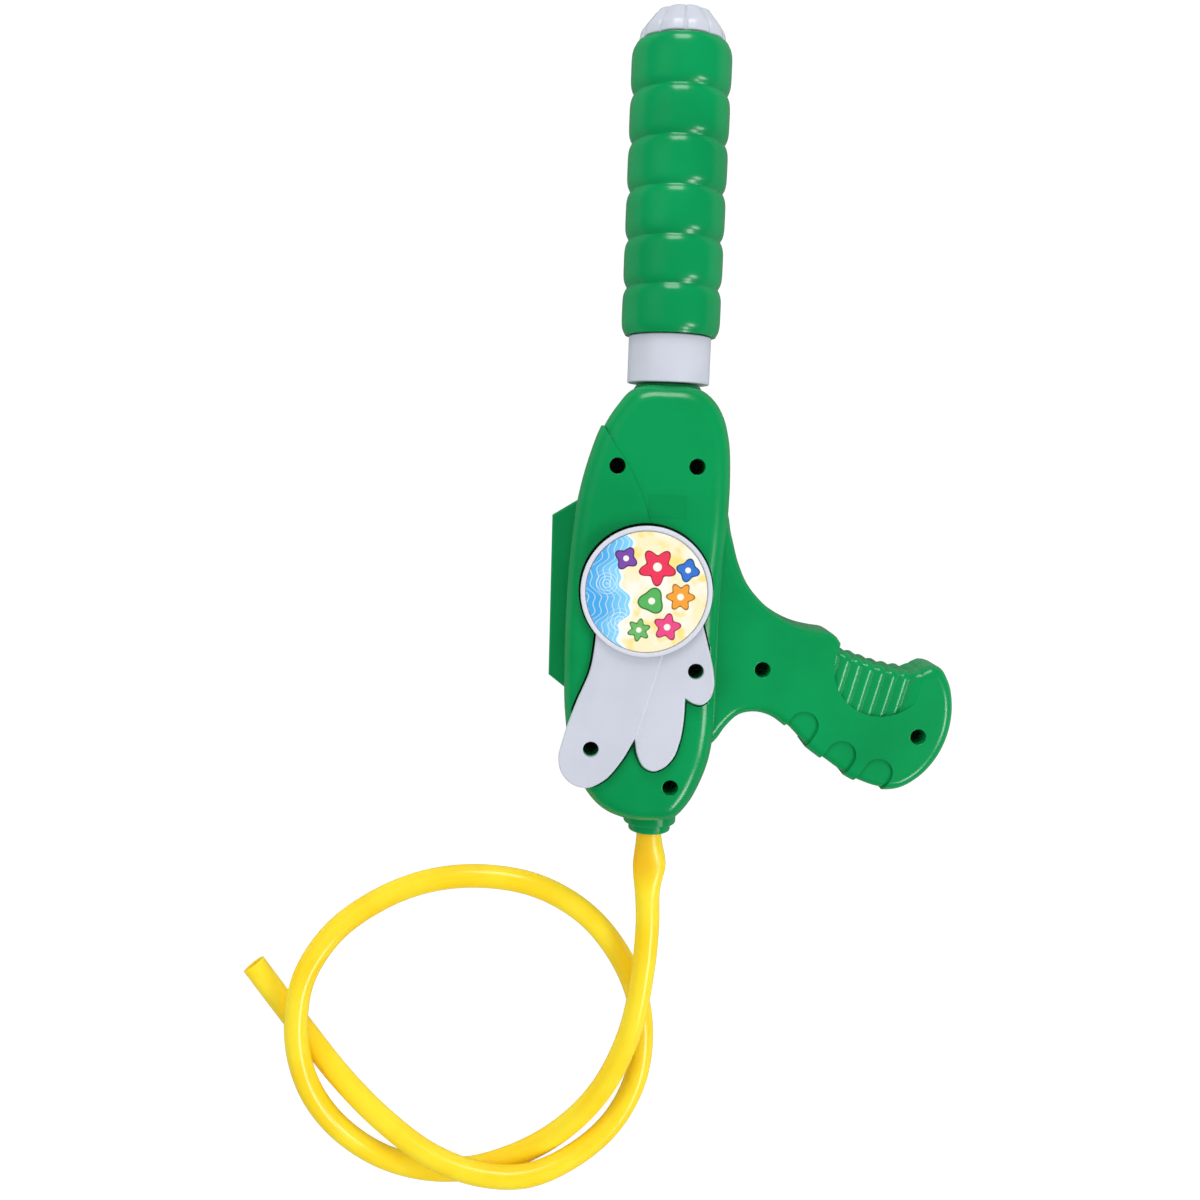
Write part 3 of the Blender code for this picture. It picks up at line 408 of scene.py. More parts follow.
# Materials
plasticFinish = {
    "green": {
        "flowScale": 22.0, "grainScale": 900.0, "scuffScale": 45.0, "grainHeight": 0.03,
        "flowHeight": 1.0, "roughLow": 0.19, "roughHigh": 0.23, "scuffRough": 0.05,
        "bump": 0.1 * mm, "ior": 1.46, "glow": 0.0, "glowRadius": (0.0002, 0.002, 0.001)},
    "grey": {
        "flowScale": 30.0, "grainScale": 1500.0, "scuffScale": 60.0, "grainHeight": 0.6,
        "flowHeight": 0.4, "roughLow": 0.3, "roughHigh": 0.4, "scuffRough": 0.06,
        "bump": 0.04 * mm, "ior": 1.46, "glow": 0.1, "glowRadius": (0.001, 0.001, 0.001)},
    "vinyl": {
        "flowScale": 35.0, "grainScale": 500.0, "scuffScale": 40.0, "grainHeight": 0.01,
        "flowHeight": 1.0, "roughLow": 0.24, "roughHigh": 0.27, "scuffRough": 0.02,
        "bump": 0.05 * mm, "ior": 1.5, "glow": 0.35, "glowRadius": (0.004, 0.0025, 0.0004)},
}
plasticFinish["gap"] = dict(plasticFinish["green"], roughLow=0.5, roughHigh=0.6)
plasticFinish["cap"] = dict(plasticFinish["grey"], roughLow=0.17, roughHigh=0.23)
plasticFinish["rubber"] = dict(plasticFinish["grey"], roughLow=0.55, roughHigh=0.7, glow=0.0)

plasticColors = {
    # each the lighter and the darker tone of its mottling
    "green": ((0.0003, 0.295, 0.086), (0.0001, 0.258, 0.073)),
    "shell": ((0.0003, 0.29, 0.079), (0.0001, 0.25, 0.066)),
    # painted shade for the floor and walls of the gap round the plate and the badge
    "gap": ((0.0, 0.022, 0.008), (0.0, 0.016, 0.006)),
    "grey": ((0.56, 0.585, 0.665), (0.52, 0.55, 0.625)),
    "cap": ((0.55, 0.58, 0.65), (0.51, 0.54, 0.61)),
    "white": ((0.65, 0.67, 0.74), (0.61, 0.63, 0.70)),
    "vinyl": ((1.0, 0.735, 0.028), (1.0, 0.66, 0.012)),
    "rubber": ((0.035, 0.035, 0.035), (0.022, 0.022, 0.022)),
}

sinkMark = {
    "centre": (0.9 * mm, 39.0 * mm),
    "half": (7.6 * mm, 4.4 * mm),
    "line": 0.5 * mm,
    "lineAmount": 0.55,
    "insideAmount": 0.35,
    "above": 1.0 * mm,              # it fades in over this height, from the parting plane up
    "shade": (0.0, 0.215, 0.06),
}

# painted shade in the squeezed kink of the hose
kinkShade = {
    "color": (0.93, 0.50, 0.012),
    "along": (outletEnd - 27 * mm, outletEnd - 15 * mm),
    "across": (-0.5 * mm, 4.5 * mm),
    "amount": 0.75,
    "farSide": 0.15,                # how much of it is left on the grip's side
}


def addSinkMark(tree, color):
    # the faint mark of a mould insert on the shell's face
    place = axesOf(tree, objectPlace(tree))
    reach = []
    for axis in (0, 1):
        away = calc(tree, "SUBTRACT", place[axis], sinkMark["centre"][axis])
        reach.append(calc(tree, "SUBTRACT", calc(tree, "ABSOLUTE", away), sinkMark["half"][axis]))
    border = calc(tree, "MAXIMUM", *reach)
    width = sinkMark["line"]
    line = fade(tree, calc(tree, "ABSOLUTE", border), 0.0, 2 * width, 1.0, 0.0)
    line = calc(tree, "MULTIPLY", line, sinkMark["lineAmount"])
    inside = fade(tree, border, -width, width, sinkMark["insideAmount"], 0.0)
    above = fade(tree, place[2], axisHeight, axisHeight + sinkMark["above"])
    mask = calc(tree, "MULTIPLY", calc(tree, "MAXIMUM", line, inside), above)
    return mixColors(tree, mask, color, sinkMark["shade"])


def addKinkShade(tree, color):
    # painted shade: a deeper amber where the tube is squeezed and its walls lie close, less on the
    # grip's side
    place = axesOf(tree, objectPlace(tree))
    along = fade(tree, place[1], *kinkShade["along"], 0.0, kinkShade["amount"])
    across = fade(tree, place[0], *kinkShade["across"], 1.0, kinkShade["farSide"])
    return mixColors(tree, calc(tree, "MULTIPLY", along, across), color, kinkShade["color"])


finish, tones = plasticFinish, plasticColors
greenPlastic = mouldedPlastic("greenPlastic", *tones["green"], finish["green"])
shellPlastic = mouldedPlastic("shellPlastic", *tones["shell"], finish["green"], addSinkMark)
gapShadePlastic = mouldedPlastic("gapShadePlastic", *tones["gap"], finish["gap"])
greyPlastic = mouldedPlastic("greyPlastic", *tones["grey"], finish["grey"])
capPlastic = mouldedPlastic("capPlastic", *tones["cap"], finish["cap"])
whitePlastic = mouldedPlastic("whitePlastic", *tones["white"], finish["grey"])
yellowVinyl = mouldedPlastic("yellowVinyl", *tones["vinyl"], finish["vinyl"], addKinkShade)
blackRubber = mouldedPlastic("blackRubber", *tones["rubber"], finish["rubber"])

# painted shade: the steel is far darker than bare steel, so that the screw heads read as dark as the
# shade deep in their holes; the balls inside share it
steelFinish = {
    "color": (0.16, 0.155, 0.15), "darker": 0.7, "roughLow": 0.18, "roughHigh": 0.33,
    "flowScale": 400.0, "grainScale": 3000.0, "scuffScale": 60.0,
}


def makeSteel(name, finish):
    material, tree, shader = newMaterial(name)
    surface = addSurface(tree, finish)
    dark = tuple(c * finish["darker"] for c in finish["color"])
    color = mixColors(tree, surface["mottle"], dark, finish["color"])
    tree.links.new(color, shader.inputs["Base Color"])
    tree.links.new(grainRough(tree, surface, finish), shader.inputs["Roughness"])
    shader.inputs["Metallic"].default_value = 1.0
    return material


screwSteel = makeSteel("screwSteel", steelFinish)
print("plastics and steel ready")

# The badge's print, in millimetres: a shore seen from above, with lobed motifs on its sand
printSetup = {
    "sand": (0.86, 0.78, 0.50), "sandPale": (0.86, 0.84, 0.74), "sandDeep": (0.86, 0.70, 0.22),
    "water": (0.22, 0.60, 0.86), "waterDeep": (0.05, 0.36, 0.75), "foam": (0.80, 0.88, 0.92),
    "paleBlotches": {"scale": 0.09, "detail": 3.0, "span": (0.35, 0.6)},
    "deepBlotches": {"scale": 0.14, "detail": 2.0, "span": (0.52, 0.7)},
    "shoreAt": 8.5,                 # to the left of the middle
    "shoreWaves": [(0.27, 2.6), (0.83, 0.9)],               # pitch and height
    "shoreEdge": 0.2,
    "deepAt": -14.0,
    "foamSpan": (0.35, 0.8),
    "streakPitch": 2.4, "streakSpan": (0.75, 1.0), "streakAmount": 0.5,
    "ripples": [((-16.5, 3.0), 0.75), ((-10.5, -12.5), 0.6)],       # place, rings to a millimetre
    "rippleSpan": (0.5, 1.0), "rippleReach": (4.0, 6.5), "rippleAmount": 0.55,
    "motifs": [
        # place, size, lobes, how deep they are, turn, colour
        ((4.0, 10.5), 6.4, 5, 0.24, 0.3, (0.78, 0.03, 0.09)),
        ((14.0, -1.5), 5.0, 6, 0.20, 0.0, (0.84, 0.33, 0.03)),
        ((2.2, -3.6), 5.0, 3, 0.16, 0.9, (0.09, 0.43, 0.10)),
        ((9.0, -14.2), 4.8, 5, 0.22, 1.1, (0.78, 0.06, 0.22)),
        ((-9.0, 13.6), 4.2, 4, 0.20, 0.5, (0.19, 0.06, 0.37)),
        ((16.6, 9.6), 4.2, 4, 0.18, 0.2, (0.03, 0.16, 0.60)),
        ((-2.6, -15.8), 4.0, 6, 0.22, 0.7, (0.14, 0.45, 0.12)),
    ],
    "fillEdge": 0.12,
    "rimInset": 0.25, "rimSpan": (0.2, 0.45), "rimAmount": 0.8, "rimDarker": 0.25,
    "spotShare": 0.28, "spotEdge": 0.15,
    "paperScale": 1800.0, "paperRough": (0.32, 0.42),
}


def makeMotifGroup(setup):
    # one lobed motif: its fill, its dark rim and a light spot, from a place on the print
    group = bpy.data.node_groups.new("printMotif", "ShaderNodeTree")
    for name in ("x", "y", "centreX", "centreY", "size", "lobes", "depth", "turn"):
        group.interface.new_socket(name, in_out="INPUT", socket_type="NodeSocketFloat")
    for name in ("fill", "rim", "spot"):
        group.interface.new_socket(name, in_out="OUTPUT", socket_type="NodeSocketFloat")
    given = group.nodes.new("NodeGroupInput").outputs
    result = group.nodes.new("NodeGroupOutput").inputs
    across = calc(group, "SUBTRACT", given["x"], given["centreX"])
    along = calc(group, "SUBTRACT", given["y"], given["centreY"])
    reach = reachOf(group, across, along)
    angle = calc(group, "ADD", calc(group, "ARCTAN2", along, across), given["turn"])
    lobe = calc(group, "COSINE", calc(group, "MULTIPLY", angle, given["lobes"]))
    edge = calc(group, "MULTIPLY", given["size"],
                calc(group, "ADD", 1.0, calc(group, "MULTIPLY", lobe, given["depth"])))
    beyond = calc(group, "SUBTRACT", reach, edge)
    rim = calc(group, "ABSOLUTE", calc(group, "ADD", beyond, setup["rimInset"]))
    spotRadius = calc(group, "MULTIPLY", given["size"], setup["spotShare"])
    heart = calc(group, "SUBTRACT", reach, spotRadius)
    group.links.new(within(group, beyond, setup["fillEdge"]), result["fill"])
    group.links.new(fade(group, rim, *setup["rimSpan"], 1.0, 0.0), result["rim"])
    group.links.new(within(group, heart, setup["spotEdge"]), result["spot"])
    return group


def addMotif(tree, color, motifGroup, x, y, motif, setup):
    (centreX, centreY), size, lobes, depth, turn, motifColor = motif
    node = tree.nodes.new("ShaderNodeGroup")
    node.node_tree = motifGroup
    tree.links.new(x, node.inputs["x"])
    tree.links.new(y, node.inputs["y"])
    for key, value in (("centreX", centreX), ("centreY", centreY), ("size", size), ("lobes", lobes),
                       ("depth", depth), ("turn", turn)):
        node.inputs[key].default_value = value
    color = mixColors(tree, node.outputs["fill"], color, motifColor)
    color = mixColors(tree, calc(tree, "MULTIPLY", node.outputs["rim"], setup["rimAmount"]), color,
                      tuple(c * setup["rimDarker"] for c in motifColor))
    return mixColors(tree, node.outputs["spot"], color, setup["sandPale"])


def makeBadgePrint(setup):
    material, tree, shader = newMaterial("badgePrint")
    place = objectPlace(tree)
    centred = tree.nodes.new("ShaderNodeMapping")
    centred.inputs["Location"].default_value = (-badgeCentre[0] / mm, -badgeCentre[1] / mm, 0)
    centred.inputs["Scale"].default_value = (1 / mm, 1 / mm, 1 / mm)
    tree.links.new(place, centred.inputs["Vector"])
    printPlace = centred.outputs["Vector"]
    x, y = axesOf(tree, printPlace)[:2]

    def blotches(values):
        pattern = noise(tree, printPlace, values["scale"], values["detail"])
        return fade(tree, pattern, *values["span"])

    color = mixColors(tree, blotches(setup["paleBlotches"]), setup["sandPale"], setup["sand"])
    color = mixColors(tree, blotches(setup["deepBlotches"]), color, setup["sandDeep"])

    # the shore line runs down the left, in long waves
    swings = [calc(tree, "MULTIPLY", wave(tree, y, pitch), height)
              for pitch, height in setup["shoreWaves"]]
    shore = calc(tree, "ADD", calc(tree, "ADD", x, setup["shoreAt"]), calc(tree, "ADD", *swings))
    water = within(tree, shore, setup["shoreEdge"])
    deep = fade(tree, shore, setup["deepAt"], 0.0, 1.0, 0.0)
    sea = mixColors(tree, deep, setup["water"], setup["waterDeep"])
    for (rippleX, rippleY), pitch in setup["ripples"]:
        across, along = calc(tree, "SUBTRACT", x, rippleX), calc(tree, "SUBTRACT", y, rippleY)
        reach = reachOf(tree, across, along)
        rings = fade(tree, wave(tree, reach, 2 * math.pi * pitch), *setup["rippleSpan"])
        near = fade(tree, reach, *setup["rippleReach"], setup["rippleAmount"], 0.0)
        sea = mixColors(tree, calc(tree, "MULTIPLY", rings, near), sea, setup["foam"])
    streaks = fade(tree, wave(tree, shore, setup["streakPitch"]), *setup["streakSpan"],
                   0.0, setup["streakAmount"])
    sea = mixColors(tree, streaks, sea, setup["foam"])
    color = mixColors(tree, water, color, sea)
    foam = fade(tree, calc(tree, "ABSOLUTE", shore), *setup["foamSpan"], 1.0, 0.0)
    color = mixColors(tree, foam, color, setup["foam"])

    motifGroup = makeMotifGroup(setup)
    for motif in setup["motifs"]:
        color = addMotif(tree, color, motifGroup, x, y, motif, setup)
    tree.links.new(color, shader.inputs["Base Color"])
    paper = noise(tree, place, setup["paperScale"])
    tree.links.new(fade(tree, paper, *mouldingSetup["grainSpan"], *setup["paperRough"]),
                   shader.inputs["Roughness"])
    return material


badgePrint = makeBadgePrint(printSetup)
print("badge print ready")

# Camera, from where the photograph was taken
cameraSetup = {
    "place": (-0.02757, 0.05431, 0.52878),
    "turn": (math.radians(-6.43), 0.0, math.radians(2.13)),
    "lens": 35.37,
    "sensor": 36,
    "clipStart": 0.01,
}
cameraData = bpy.data.cameras.new("photoCamera")
cameraData.lens = cameraSetup["lens"]
cameraData.sensor_width = cameraSetup["sensor"]
cameraData.clip_start = cameraSetup["clipStart"]
camera = addObject("photoCamera", cameraData)
camera.location = cameraSetup["place"]
camera.rotation_euler = cameraSetup["turn"]
bpy.context.scene.camera = camera
print("camera set")

# The hose: where it runs, and the flat kink just behind the outlet
hoseSetup = {
    "radius": 5.3 * mm,
    "wall": 1.7 * mm,
    "step": 3.0 * mm,
    "around": 10,
    "route": [
        (0.0, -98.5, 20.8), (0.0, -113.0, 20.8), (0.0, -126.0, 20.8), (1.2, -147.0, 20.3),
        (0.0, -172.0, 19.0), (-4.8, -201.8, 16.8), (-18.5, -234.3, 12.6), (-36.9, -256.1, 8.6),
        (-57.2, -269.9, 5.9), (-76.9, -276.8, 5.4), (-95.3, -277.7, 5.4), (-115.1, -272.9, 6.2),
        (-136.0, -257.4, 10.2), (-151.6, -231.1, 15.8), (-156.5, -200.6, 17.1),
        (-153.6, -181.5, 15.6), (-142.0, -162.1, 10.6), (-122.0, -147.0, 6.2), (-98.4, -137.0, 5.4),
        (-73.6, -134.0, 5.4), (-47.6, -138.3, 5.4), (-26.1, -150.6, 5.4), (-10.8, -168.4, 5.4),
        (-1.3, -188.6, 5.4), (1.7, -209.5, 5.4), (-1.4, -231.8, 6.0), (-11.3, -250.1, 8.5),
        (-28.4, -264.4, 12.4), (-49.4, -272.2, 16.9), (-71.7, -271.9, 17.3), (-93.1, -265.5, 15.3),
        (-116.8, -251.4, 10.6), (-138.0, -232.4, 7.1), (-154.1, -213.4, 5.4),
        (-167.2, -196.2, 5.4), (-179.3, -180.0, 5.4)],
    "kinkAt": 16.0 * mm,            # behind the outlet
    "kinkReach": 9.0 * mm,
    "kinkWider": 0.38,
    "kinkFlatter": 0.34,
    "kinkLean": 0.9 * mm,           # how far the bulge leans to the grip's side
    "kinkEnds": 3,                  # no further than this many reaches along, or radii across
}


def makeHose(setup):
    route = smoothRun(setup["route"], False, setup["step"])
    curve = bpy.data.curves.new("hoseLine", "CURVE")
    curve.dimensions = "3D"
    curve.bevel_depth = setup["radius"]
    curve.bevel_resolution = setup["around"]
    line = curve.splines.new("POLY")
    line.points.add(len(route) - 1)
    for point, spot in zip(line.points, route):
        point.co = (*spot, 1)
    guide = addObject("hoseLine", curve)
    mesh = finishedMesh(guide)
    bpy.data.objects.remove(guide)
    hose = addObject("supplyHose", mesh)
    for v in mesh.vertices:
        behind = (outletEnd - v.co.y - setup["kinkAt"]) / setup["kinkReach"]
        if abs(v.co.x) < setup["kinkEnds"] * setup["radius"] and abs(behind) < setup["kinkEnds"]:
            amount = math.exp(-behind * behind)
            v.co.x += amount * (v.co.x * setup["kinkWider"] + setup["kinkLean"])
            v.co.z = axisHeight + (v.co.z - axisHeight) * (1 - amount * setup["kinkFlatter"])
    wall = hose.modifiers.new("wall", "SOLIDIFY")
    wall.thickness = setup["wall"]
    wall.offset = -1
    return settle(hose), route


hose, hoseRoute = makeHose(hoseSetup)
dress(hose, yellowVinyl, "gun", ["hose"], lift=False)

# The two gun shells
shellSetup = {
    "step": 2.0 * mm,
    "hollowStep": 4.0 * mm,
    "pod": [
        (0, 89.2), (-9, 88.9), (-15.9, 86.4), (-21.0, 80.5), (-26.5, 71.5), (-31.2, 58.4),
        (-35.4, 40.4), (-37.8, 18.3), (-38.7, -6), (-38.6, -30), (-37.6, -49.9), (-34.2, -69.8),
        (-28.1, -84.5), (-21.0, -91.6), (-11.7, -95.4), (0, -96.3), (9.6, -94.6), (15.2, -88.6),
        (19.9, -79.5), (23.3, -69.3), (25.0, -58), (25.3, -30), (25.6, 10), (27.0, 40),
        (27.0, 52), (25.4, 68.8), (23.1, 76.6), (19.1, 83.1), (14, 87.2), (8, 88.9)],
    "panel": [
        [(-60, 74), (-60, -60)],
        [(-60, -60), (-37.6, -60)],
        [(-37.6, -60), (-22, -59.5), (-8, -52.5), (4, -48), (12, -38), (19, -32), (19.5, -24),
         (16, -10), (12, 4), (5, 14), (-2.6, 22.6), (-5.7, 31.8), (-8.6, 41.2), (-12.2, 48.8),
         (-16.4, 56.6), (-22.5, 65.1), (-26.7, 71.5)],
        [(-26.7, 71.5), (-60, 74)]],
    "fin": [(-28.0, 45.6), (-47.2, 33.3), (-46.6, -35.8), (-28.0, -50.0)],
    "grip": [
        (16, 43), (25.3, 39.9), (29.1, 27.7), (33.0, 15), (36.6, 7.6), (42.3, 0.8), (50.9, -5.8),
        (59.3, -9.5), (67.5, -11.1), (72.6, -11.8), (76.3, -14.2), (79.0, -18.2), (87.8, -21.8),
        (97.3, -24.8), (107.0, -26.4), (112.3, -26.6), (116.2, -24.7), (120.8, -25.4),
        (124.9, -31.2), (127.3, -41.2), (126.5, -53.4), (122.2, -64.6), (114.0, -74.4),
        (106.3, -78.9), (99.8, -79.8), (88.9, -77.1), (71.7, -66.9), (64.8, -61.9), (55.1, -52.8),
        (49.6, -49.2), (43.4, -47.6), (35.9, -49.1), (30.7, -54.2), (25.9, -61.2), (19, -66),
        (13, -58), (12, -10), (12, 34)],
    "podHalf": ringRadius,
    "podEdge": 8.0 * mm,
    "podSegments": 10,
    "panelRise": 0.7 * mm,
    "panelProud": 1.1 * mm,
    "panelRound": 0.5 * mm,
    "gripHalf": 13.5 * mm,
    "gripEdge": 4.6 * mm,
    "gripSegments": 8,
    "finHalf": 3.6 * mm,
    "finEdge": 1.0 * mm,
    "smallSegments": 3,             # of the roundings that hardly show
    "wall": 2.2 * mm,
    "partingGap": 0.3 * mm,
    "neckRadius": 13.3 * mm,
    "neckFoot": 16.2 * mm,
    "neckSlope": 4.6 * mm,
    "neckLength": 9.0 * mm,
    "outletRadius": 9.2 * mm,
    "outletLength": 3.6 * mm,
    "outletStepRadius": 11.5 * mm,
    "outletStepLength": 12.0 * mm,
    "outletRound": 0.9 * mm,
    "steps": 96,
    "roomSteps": 70,                # unlike steps, so that no edges fall together
}
reliefSetup = {
    "thumbCentre": (95.4 * mm, -26.8 * mm),
    "thumbRadius": 20.3 * mm,
    "thumbDepth": 1.0 * mm,
    "thumbFade": (12.5 * mm, 19.8 * mm),            # where the recess runs out towards the butt
    "ribPitch": 5.2 * mm,
    "ribDepth": 0.9 * mm,
    "ribRound": 1.2,                # higher values make the ribs' tops narrower
    "ribLean": math.radians(14),
    "ribCuts": 12,                  # strips across one rib
    "fingerCentres": [(63.5, -52.4), (80.3, -64.6), (96.5, -71.8)],
    "fingerRadius": 6.4 * mm,
    "fingerDepth": 1.2 * mm,
    "fingerAngle": math.radians(-30.5),
    "fingerSteps": 24,
    "gripFloor": 1.6 * mm,
}
innerSetup = {
    "rodRadius": 6.0 * mm,
    "rodBore": 3.5 * mm,
    "rodRear": -62.0 * mm,
    "flangeRadius": 9.5 * mm,
    "flangeStation": 70.0 * mm,
    "flangeLength": 3.0 * mm,
    "barbSocket": 10.0 * mm,
    "barbWall": 3.0 * mm,
    "barbHub": 9.0 * mm,
    "stemRadius": 2.4 * mm,
    "cradleThick": 2.0 * mm,
    "cradleWidth": 26.0 * mm,
    "steps": 96,
}
screwSetup = {
    # place in millimetres, and the face that the hole opens in
    "places": [(-20.4, 55.2, "panel"), (12.5, 55.9, "pod"), (15.5, -28.8, "panel"),
               (-27.1, -63.5, "pod"), (7.2, -79.8, "pod"), (44.7, -28.7, "grip"),
               (112.7, -55.3, "grip")],
    "underPlate": (2, 3),
    "accessRadius": 3.3 * mm,
    "rimRound": 0.4 * mm,
    "bossWall": 1.0 * mm,
    "bossFloor": 2.4 * mm,
    "bossSteps": 32,
    "shankRadius": 1.2 * mm,
    "shankSteps": 24,
    "length": 11.0 * mm,
    "headRadius": 2.7 * mm,
    "headHeight": 1.8 * mm,
    "headRound": 0.6 * mm,
    "roundSteps": 6,
    "crossWidth": 0.8 * mm,
    "crossLength": 3.2 * mm,
    "crossDepth": 1.2 * mm,
    "crossTurn": 0.7,               # from one screw to the next
    "steps": 40,
}
pegSetup = {
    "places": [(-20.0, -38.0), (5.0, -30.0)],
    "radius": 1.8 * mm,
    "length": 1.8 * mm,
    "steps": 24,
}

# The plate with three feathers below the badge, and the gap that the near shell leaves round them
wingSetup = {
    "step": 1.5 * mm,
    "outline": [
        [(-26.2, -8), (-26.9, -18), (-28.4, -29), (-33.9, -43.8), (-39.0, -59.6), (-40.6, -67.5),
         (-39.4, -73.6), (-35.0, -78.6), (-28.4, -80.3), (-21.6, -77.2), (-14.4, -68.8),
         (-8.8, -58.6)],
        [(-8.8, -58.6), (-7.4, -65.6), (-4.6, -70.4), (-0.6, -72.1), (3.8, -70.4), (7.6, -66.2),
         (10.2, -58.6), (11.5, -48), (11.6, -40.4)],
        [(11.6, -40.4), (14.9, -42.4), (18.7, -42.9), (22.0, -40.2), (23.4, -35.6), (22.9, -28.6),
         (20.6, -19.5), (16.6, -6)],
        [(16.6, -6), (-5, 0), (-26.2, -8)]],
    "thick": 2.6 * mm,
    "edge": 0.9 * mm,
    "segments": 6,
    "seatRadius": 24.8 * mm,        # round end under the badge
    "steps": 96,
    "rimRound": 0.5 * mm,
    "roundSteps": 6,
    "seam": [(-8.8, -58.6), (2.6, -16.0)],
    "seamDrop": 0.35 * mm,
    "seamWidth": 0.7 * mm,
    "seamRise": 4.0 * mm,
    "seamLead": 1.0 * mm,           # how far it starts outside the outline
    "sharpAngle": 20,               # degrees, low enough to keep the seam crisp
    "trench": 0.93 * mm,            # width of the gap
    "trenchDepth": 1.83 * mm,
    "trenchDrop": 0.4 * mm,         # how much wider it is below the plate
    "trenchStep": 0.8 * mm,
    "trenchKeep": 0.96,             # a widened outline drops points nearer than this share
    "gapMargin": 0.1 * mm,
    "gapSteepness": 0.3,            # walls are steeper than this
}

podLoop = smoothLoop(shellSetup["pod"], shellSetup["step"])
gripLoop = smoothLoop(shellSetup["grip"], shellSetup["step"])
faceHeights = {
    "panel": ringRadius,
    "pod": ringRadius - shellSetup["panelRise"],
    "grip": shellSetup["gripHalf"],
}


def outerForm(setup):
    podHalf, podEdge, segments = setup["podHalf"], setup["podEdge"], setup["podSegments"]
    faceHalf = podHalf - setup["panelRise"]
    form = asObject("gunForm", slab(podLoop, -faceHalf, faceHalf, podEdge, segments))
    panelForm = slab(insetLoop(podLoop, -setup["panelProud"]), -podHalf, podHalf, podEdge, segments)
    panel = asObject("panel", panelForm)
    combine(panel, "INTERSECT", slab(
        smoothLoop(setup["panel"], setup["step"]), -podHalf - hair, podHalf + hair,
        setup["panelRound"], setup["smallSegments"]))
    grip = slab(gripLoop, -setup["gripHalf"], setup["gripHalf"], setup["gripEdge"],
                setup["gripSegments"])
    fin = slab([Vector(p) * mm for p in setup["fin"]], -setup["finHalf"], setup["finHalf"],
               setup["finEdge"], setup["smallSegments"])
    neckRear = neckEnd - setup["neckLength"]
    neck = lathe([(0, neckEnd), (setup["neckRadius"], neckEnd),
                  (setup["neckFoot"], neckEnd - setup["neckSlope"]), (setup["neckFoot"], neckRear),
                  (0, neckRear)], setup["steps"])
    stepEnd = outletEnd + setup["outletLength"]
    stepTop = stepEnd + setup["outletStepLength"]
    soft = setup["outletRound"]
    outlet = lathe(
        [(0, stepTop), (setup["outletStepRadius"], stepTop)]
        + roundedCorner(setup["outletStepRadius"], stepEnd, soft, -1, 1)[::-1]
        + [(setup["outletRadius"], stepEnd)]
        + roundedCorner(setup["outletRadius"], outletEnd, soft, -1, 1)[::-1]
        + [(0, outletEnd)], setup["steps"])
    return combine(form, "UNION", panel, grip, fin, neck, outlet)


def drawnInGrip(setup, depth):
    return slab(insetLoop(gripLoop, depth), -setup["gripHalf"] + depth, setup["gripHalf"] - depth,
                setup["gripEdge"] - depth, setup["gripSegments"])


def ribbedCore(setup, relief):
    # the grip drawn in by the recess's depth, its skin folded into ribs across the thumb's place
    depth = relief["thumbDepth"]
    core = drawnInGrip(setup, depth)
    across = Vector((math.cos(relief["ribLean"]), -math.sin(relief["ribLean"]), 0))
    centre = Vector((*relief["thumbCentre"], 0))
    cut = relief["ribPitch"] / relief["ribCuts"]
    reach = int(relief["thumbRadius"] / cut) + 1
    for i in range(-reach, reach + 1):
        bmesh.ops.bisect_plane(core, geom=core.verts[:] + core.edges[:] + core.faces[:], dist=tiny,
                               plane_co=centre + across * i * cut, plane_no=across)
    core.normal_update()
    moves = []
    for v in core.verts:
        place = (v.co - centre).dot(across)
        if abs(place) <= (reach + 0.5) * cut:
            start, end = relief["thumbFade"]
            out = min(max((place - start) / (end - start), 0), 1)
            out = out * out * (3 - 2 * out)
            rib = 1 - abs(math.cos(math.pi * place / relief["ribPitch"])) ** relief["ribRound"]
            rise = (depth + fit) * out - relief["ribDepth"] * rib * (1 - out)
            moves.append((v, v.normal * rise))
    for v, move in moves:
        v.co += move
    return core


def thumbCutter(setup, relief):
    top = 2 * setup["gripHalf"]
    region = asObject("thumbRegion", cylinder(relief["thumbRadius"], -top, top, setup["steps"],
                                              relief["thumbCentre"]))
    return combine(region, "DIFFERENCE", ribbedCore(setup, relief))


def fingerCutter(setup, relief):
    bm = bmesh.new()
    top = 2 * setup["gripHalf"]
    angle, radius, steps = relief["fingerAngle"], relief["fingerRadius"], relief["fingerSteps"]
    out = Vector((math.sin(angle), -math.cos(angle)))
    for centre in relief["fingerCentres"]:
        middle = Vector(centre) * mm
        loop = []
        for k in range(steps + 1):
            turn = angle + math.pi * k / steps
            loop.append(middle + Vector((math.cos(turn), math.sin(turn))) * radius)
        loop += [loop[-1] + out * 2 * radius, loop[0] + out * 2 * radius]
        slab(loop, -top, top, into=bm)
    core = drawnInGrip(setup, relief["fingerDepth"])
    return combine(asObject("fingerRegions", bm), "DIFFERENCE", core)


